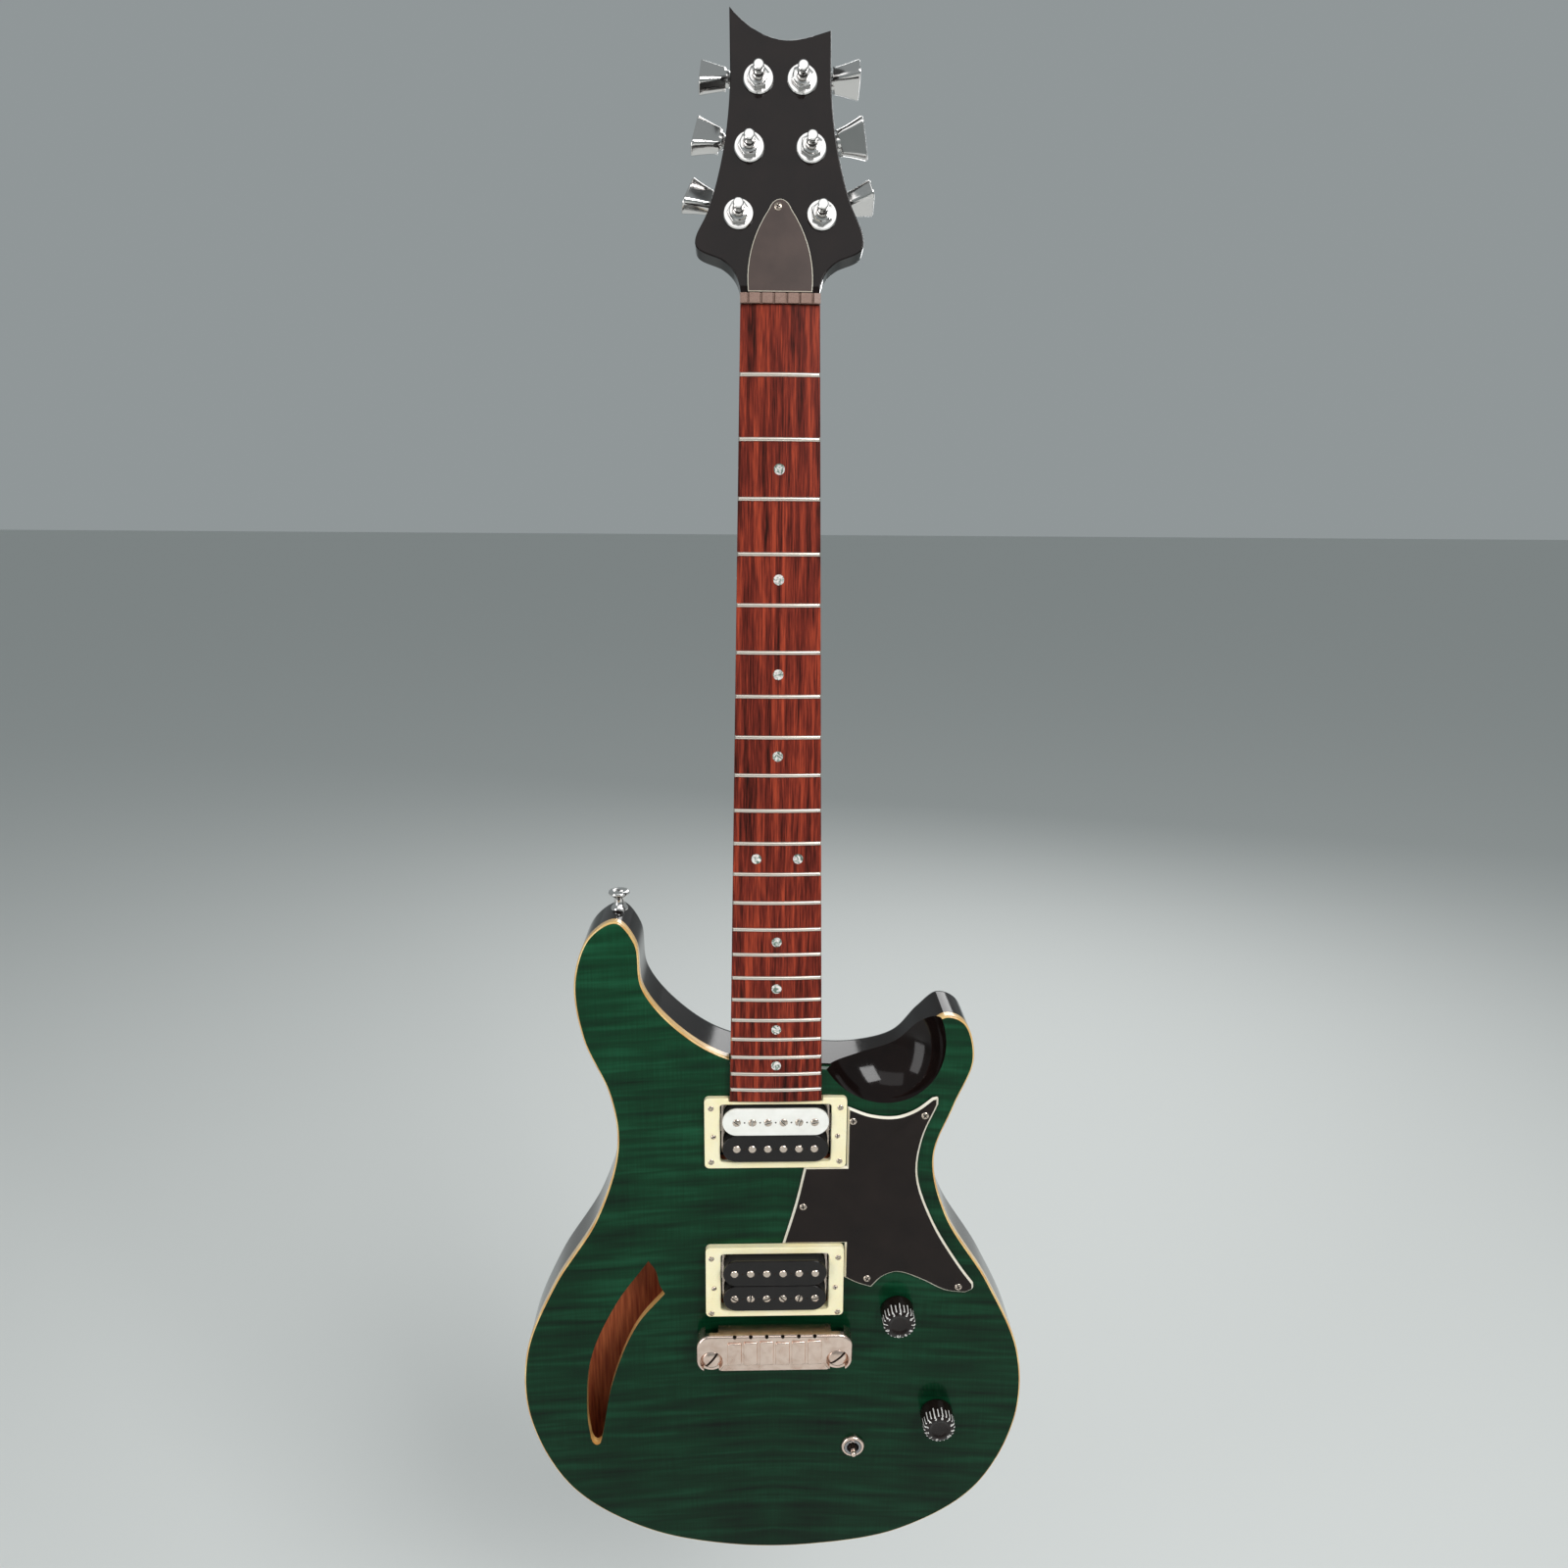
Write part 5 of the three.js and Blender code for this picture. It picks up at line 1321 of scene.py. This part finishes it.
for side_name, x, turned in (("bass", -STUD_X, -0.9), ("treble", STUD_X, -0.7)):
    stud_bm = spun([
        (0, -15.6), (2.4, -15.5), (4.3, -15.1), (5.7, -14.5), (6.6, -13.7), (6.9, -13), (6.9, -12.5),
        (6.7, -12.3), (3.9, -12.3), (3.9, -4.7), (6.7, -4.7), (7, -4.4), (7, -3.5), (6.7, -3.2),
        (3.95, -3.2), (3.95, 13), (3.2, 14), (0, 14),
    ], 56)
    slot_bm = brick((18, 3, 1.5), (0, -15.4, 0))
    stud_space = BODY_SPACE @ Matrix.Translation((x, TOP_Y, at(STUD_STATION)))
    stud_space @= Matrix.Rotation(turned, 4, "Y")
    stud = shaped(f"stud_screw_{side_name}", stud_bm, [worn_nickel], stud_space)
    # The slot is coloured dark as painted shade, with some grime.
    carved(stud, [shaped("slot", slot_bm, [recess_shade_and_grime], stud_space)])
    eased(stud, 0.15, 2, 40)
    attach(stud, f"stud_{side_name}")
    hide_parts(f"bridge_stud_{side_name}")
    refinish(f"stud_insert_{side_name}", drawn_steel)


# ---------------------------------------------------------------- volume and tone controls
# Black moulded speed knobs, pushed on the split brass shafts of two potentiometers that hang from
# the cap. White ink fills the numerals on the knob's crown and the ticks that run over its edge.

KNOBS = {"volume": ((81.0, 620.5), 0.55), "tone": ((110.3, 702.0), -0.35)}
KNOB_FACETS = 72
DIAL_SPAN = math.radians(300)
NUMERAL_SIZE = 3.1
TICKS, TICK_WIDTH = 24, 0.064

# Hard black plastic, moulded and glossy, hazed by fingers.
knob_plastic = drifting(
    "knob_plastic", 4, detail=3.0, colours=("#0b0808", "#221815"), gloss=(0.12, 0.34),
    Specular_IOR_Level=0.35,
)

# White marking ink, matt, a little uneven where it has worn.
white_ink = drifting("white_marking_ink", 0.7, colours=("#cfc8bf", "#ffffff"), Roughness=0.6)

# Turned brass: yellow, with fine rings left by the tool.
turned_brass = drifting(
    "turned_brass", 0.8, colours=("#a9803c", "#d9b56a"), Metallic=1.0, Roughness=0.3,
)

for name, ((x, station), rest_turn) in KNOBS.items():
    knob_bm = spun([
        (0, -14.7), (4.6, -14.9), (5.6, -15.1), (6.3, -15.6), (6.9, -15.8), (7.5, -15.8), (8.4, -15.5),
        (9.9, -15), (10.25, -14.75), (10.4, -14.3), (10.95, -2.6), (11, -1.2), (10.7, -0.8),
        (6.2, -0.8), (6.2, -5.8), (3.15, -5.8), (3.15, -12.4), (0, -12.4),
    ], KNOB_FACETS)
    knob_space = BODY_SPACE @ Matrix.Translation((x, TOP_Y, at(station)))
    knob = shaped(f"{name}_speed_knob", knob_bm, [knob_plastic], knob_space, 50)
    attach(knob, f"{name}_control")
    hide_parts(f"{name}_knob")

    ink_parts = []
    for tick in range(TICKS):
        tick_bm = bmesh.new()
        reach = -9.6 if tick % 2 else -8.2
        tick_end = (10.4 + 0.05 * (14.3 + reach), reach)
        surface = [(9.75, -15.1), (10.25, -14.82), (10.45, -14.3), tick_end]
        band = [(r - 0.3, d) for r, d in reversed(surface)]
        tick_face = tick_bm.faces.new([tick_bm.verts.new((r, d, 0)) for r, d in surface + band])
        bmesh.ops.spin(
            tick_bm, geom=tick_face.verts[:] + tick_face.edges[:] + [tick_face],
            cent=(0, 0, 0), axis=(0, 1, 0), angle=TICK_WIDTH, steps=1,
        )
        tick_turn = rest_turn + tick * math.tau / TICKS - TICK_WIDTH / 2
        ink_parts.append((tick_bm, Matrix.Rotation(tick_turn, 4, "Y")))
    for number in range(11):
        numeral = bpy.data.curves.new("numeral", "FONT")
        numeral.body = str(number)
        numeral.size = NUMERAL_SIZE
        numeral.align_x = "CENTER"
        numeral.align_y = "CENTER"
        numeral.extrude = 0.06
        numeral.offset = 0.05
        holder = bpy.data.objects.new("numeral", numeral)
        text_mesh = bpy.data.meshes.new_from_object(holder)
        text_bm = bmesh.new()
        text_bm.from_mesh(text_mesh)
        bpy.data.objects.remove(holder)
        bpy.data.meshes.remove(text_mesh)
        turn = rest_turn + (number / 10 - 0.5) * DIAL_SPAN
        face_on = Matrix.Rotation(math.pi / 2, 4, "X")
        crown = Matrix.Translation((0, -15.46, 8.55)) @ Matrix.Rotation(-0.3, 4, "X")
        ink_parts.append((text_bm, Matrix.Rotation(turn, 4, "Y") @ crown @ face_on))
    ink = shaped(f"{name}_dial_marks", gathered(ink_parts), [white_ink], knob_space)
    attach(ink, f"{name}_control")

    refinish(f"{name}_pot", drawn_steel)
    refinish(f"{name}_shaft", turned_brass)


# ---------------------------------------------------------------- pickup switch
# A three-way lever switch. Its threaded bushing comes up through the cap and a round knurled nut
# clamps it there; the short bat lever is chrome plated and has lost its plastic tip.

TOGGLE_X, TOGGLE_STATION = 54.0, 728.0

toggle_space = BODY_SPACE @ Matrix.Translation((TOGGLE_X, TOP_Y, at(TOGGLE_STATION)))

nut_bm = spun([
    (6.05, -0.3), (7.8, -0.3), (7.8, -1.5), (7.35, -2.2), (6.9, -2.4), (6.05, -2.4), (6.05, -0.3),
], 72)
dress_nut = shaped("switch_dress_nut", nut_bm, [worn_nickel], toggle_space, 40)
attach(dress_nut, "body")
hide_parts("toggle_nut")

lever_bm = spun([
    (0, -9.5), (0.9, -9.4), (1.5, -9.0), (1.85, -8.3), (1.9, -7.4), (1.75, -4), (1.5, 0), (1.5, 3.2),
    (2.6, 3.8), (3.3, 4.9), (3.4, 6), (3.3, 7.1), (2.6, 8.2), (1.3, 9), (1.3, 14), (0, 14),
], 36)
lever = shaped("switch_lever", lever_bm, [worn_nickel], toggle_space, 50)
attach(lever, "toggle")
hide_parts("toggle_lever")
refinish("toggle_switch", drawn_steel)


# ---------------------------------------------------------------- output jack
# The jack socket is a threaded barrel in the treble side, held by a hexagon nut against an oval
# pressed plate, chrome plated, that two countersunk screws fix over the bore.

OUTWARDS = Matrix.Rotation(math.pi / 2, 4, "Z")
jack_space = BODY_SPACE @ Matrix.Translation((JACK_SEAT_X, 0, JACK_Z)) @ OUTWARDS

plate_bm = soft_prism(rounded_box(26, 38, 12.4, steps=12), 0, -1.4, 0.7, 4)
jack_plate = shaped("jack_oval_plate", plate_bm, [chrome], jack_space)
carved(jack_plate, [shaped("plate_hole", plug(4.7, -4, 4), [chrome], jack_space)])
flattened(jack_plate)
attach(jack_plate, "body")
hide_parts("jack_plate")

socket_bm = spun([
    (3.3, -2.2), (3.5, -2.6), (4.1, -2.6), (4.4, -2.3), (4.4, 0.35), (5.4, 0.35), (5.4, 27),
    (3.3, 27), (3.3, -2.2),
], 48)
nut_bm = bmesh.new()
disc(nut_bm, 7, 0.9, Matrix.Translation((0, -1.85, 0)), 6)
softened(nut_bm, nut_bm.edges[:], 0.2, 2)
jack_socket = shaped("jack_barrel", socket_bm, [chrome], jack_space, 40)
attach(jack_socket, "body")
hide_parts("jack_socket")
socket_nut = shaped("jack_hexagon_nut", nut_bm, [chrome], jack_space)
carved(socket_nut, [shaped("nut_hole", plug(4.45, -4, 4), [chrome], jack_space)])
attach(socket_nut, "body")

plate_screws = screw_set("jack_plate_screws", [
    (cross_screw(2.1, 0.5, 0.5 + i), Matrix.Translation((0, -1.35, z)))
    for i, z in enumerate((-14.3, 14.3))
], jack_space)
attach(plate_screws, "body")


# ---------------------------------------------------------------- strap buttons
# Two turned and plated buttons, one on the bass horn's tip and one at the tail, each held by a
# single wood screw whose head lies in a dish in the button's face.

STRAP_BUTTONS = {"horn": ((-96.6, 347.6), math.pi / 2), "end": ((0.0, 812.9), -math.pi / 2)}
DISH_DEPTH = 11.6

for name, ((x, station), turn) in STRAP_BUTTONS.items():
    button_bm = spun([
        (0, 0), (5, 0), (5.2, 0.3), (5.2, 1.2), (4.6, 2.2), (3.5, 3.3), (3.2, 4.5), (3.2, 7.2),
        (3.8, 8.5), (5.4, 9.1), (6.3, 9.7), (6.6, 10.6), (6.4, 11.5), (5.8, 12), (4.9, 12.2),
        (3.6, 12.2), (3, 11.9), (2.7, DISH_DEPTH), (0, DISH_DEPTH),
    ], 56)
    screw_face = Matrix.Translation((0, DISH_DEPTH, 0)) @ Matrix.Rotation(math.pi, 4, "X")
    strap_button = shaped(
        f"strap_knob_{name}", gathered([button_bm, (cross_screw(2.3, 0.55, 0.3), screw_face)]),
        [chrome, recess_shade_and_grime],
        BODY_SPACE @ Matrix.Translation((x, 0, at(station))) @ Matrix.Rotation(turn, 4, "X"), 45,
    )
    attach(strap_button, "body")
    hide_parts(f"strap_button_{name}")


# ---------------------------------------------------------------- control cover
# A moulded black plate, let flush into a rebate in the body's back over the controls and held by
# five small screws.

COVER_SCREWS = (4, 18, 34, 56, 76)

cover_line = moved_in(CONTROL_LINE, 0.3 - COVER_REBATE)
cover_bm = soft_prism(cover_line, BACK_Y - COVER_THICKNESS, BACK_Y, 0.4, 3)
control_cover = flattened(shaped("control_plate", cover_bm, [black_acrylic]))
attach(control_cover, "body")
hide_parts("control_cover")

screw_line = moved_in(CONTROL_LINE, -0.6)
cover_screws = []
for i in COVER_SCREWS:
    screw_at = Matrix.Translation((screw_line[i].x, BACK_Y - 0.1, screw_line[i].y))
    cover_screws.append((cross_screw(2.4, 0.5, 0.8 * i), screw_at @ Matrix.Rotation(math.pi, 4, "X")))
plate_screws = screw_set("control_plate_screws", cover_screws)
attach(plate_screws, "body")


# ---------------------------------------------------------------- studio
# A plain pale floor, a pale room and four soft boxes, with the camera in front of the upper half of
# the hanging instrument, tipped down.

CAMERA_AT = (-16.5, -677.0, -125.9)
CAMERA_TURN = (75.924, -0.423, -1.664)
CAMERA_LENS = 26.55
FLOOR_DROP = 0.3
FLOOR_HALF = 30

camera_data = bpy.data.cameras.new("camera")
camera_data.lens = CAMERA_LENS
camera_data.sensor_width = 36
camera_data.clip_start = 0.01
camera = bpy.data.objects.new("camera", camera_data)
camera.location = [value * MM for value in CAMERA_AT]
camera.rotation_euler = Euler([math.radians(value) for value in CAMERA_TURN])
bpy.context.scene.collection.objects.link(camera)
bpy.context.scene.camera = camera

floor_bm = bmesh.new()
bmesh.ops.create_grid(floor_bm, x_segments=1, y_segments=1, size=FLOOR_HALF)
bmesh.ops.translate(floor_bm, verts=floor_bm.verts[:], vec=(0, 0, cad_box[0][2] - FLOOR_DROP))
floor_mesh = bpy.data.meshes.new("floor")
floor_bm.to_mesh(floor_mesh)
floor_bm.free()
floor = bpy.data.objects.new("floor", floor_mesh)
bpy.context.scene.collection.objects.link(floor)
pale_floor, tree, shader, place = finish_named("pale_floor", Base_Color=paint("#d8dad8"), Roughness=0.8)
floor_mesh.materials.append(pale_floor)

world = bpy.data.worlds.new("room")
world.use_nodes = True
world.node_tree.nodes["Background"].inputs["Color"].default_value = paint("#cfd8da")
world.node_tree.nodes["Background"].inputs["Strength"].default_value = 0.45
bpy.context.scene.world = world
bpy.context.scene.view_settings.view_transform = "Standard"


def soft_box(name, place, aim, size, watts):
    """A rectangular lamp, in metres and watts, turned to face `aim`."""
    lamp_data = bpy.data.lights.new(name, "AREA")
    lamp_data.shape = "RECTANGLE"
    lamp_data.size, lamp_data.size_y = size
    lamp_data.energy = watts
    lamp = bpy.data.objects.new(name, lamp_data)
    lamp.location = place
    lamp.rotation_euler = (Vector(aim) - Vector(place)).to_track_quat("-Z", "Y").to_euler()
    bpy.context.scene.collection.objects.link(lamp)


soft_box("key", (1.1, -1.6, 1.1), (0, 0, -0.4), (1.0, 1.0), 40)
soft_box("fill", (-1.9, -1.5, -0.1), (0, 0, -0.5), (0.8, 1.8), 18)
soft_box("ceiling", (-0.2, -1.5, 1.3), (0, 0, 0.0), (1.6, 1.0), 5.5)
soft_box("back", (0.6, 1.9, 0.8), (0, 0, -0.4), (1.4, 1.4), 24)
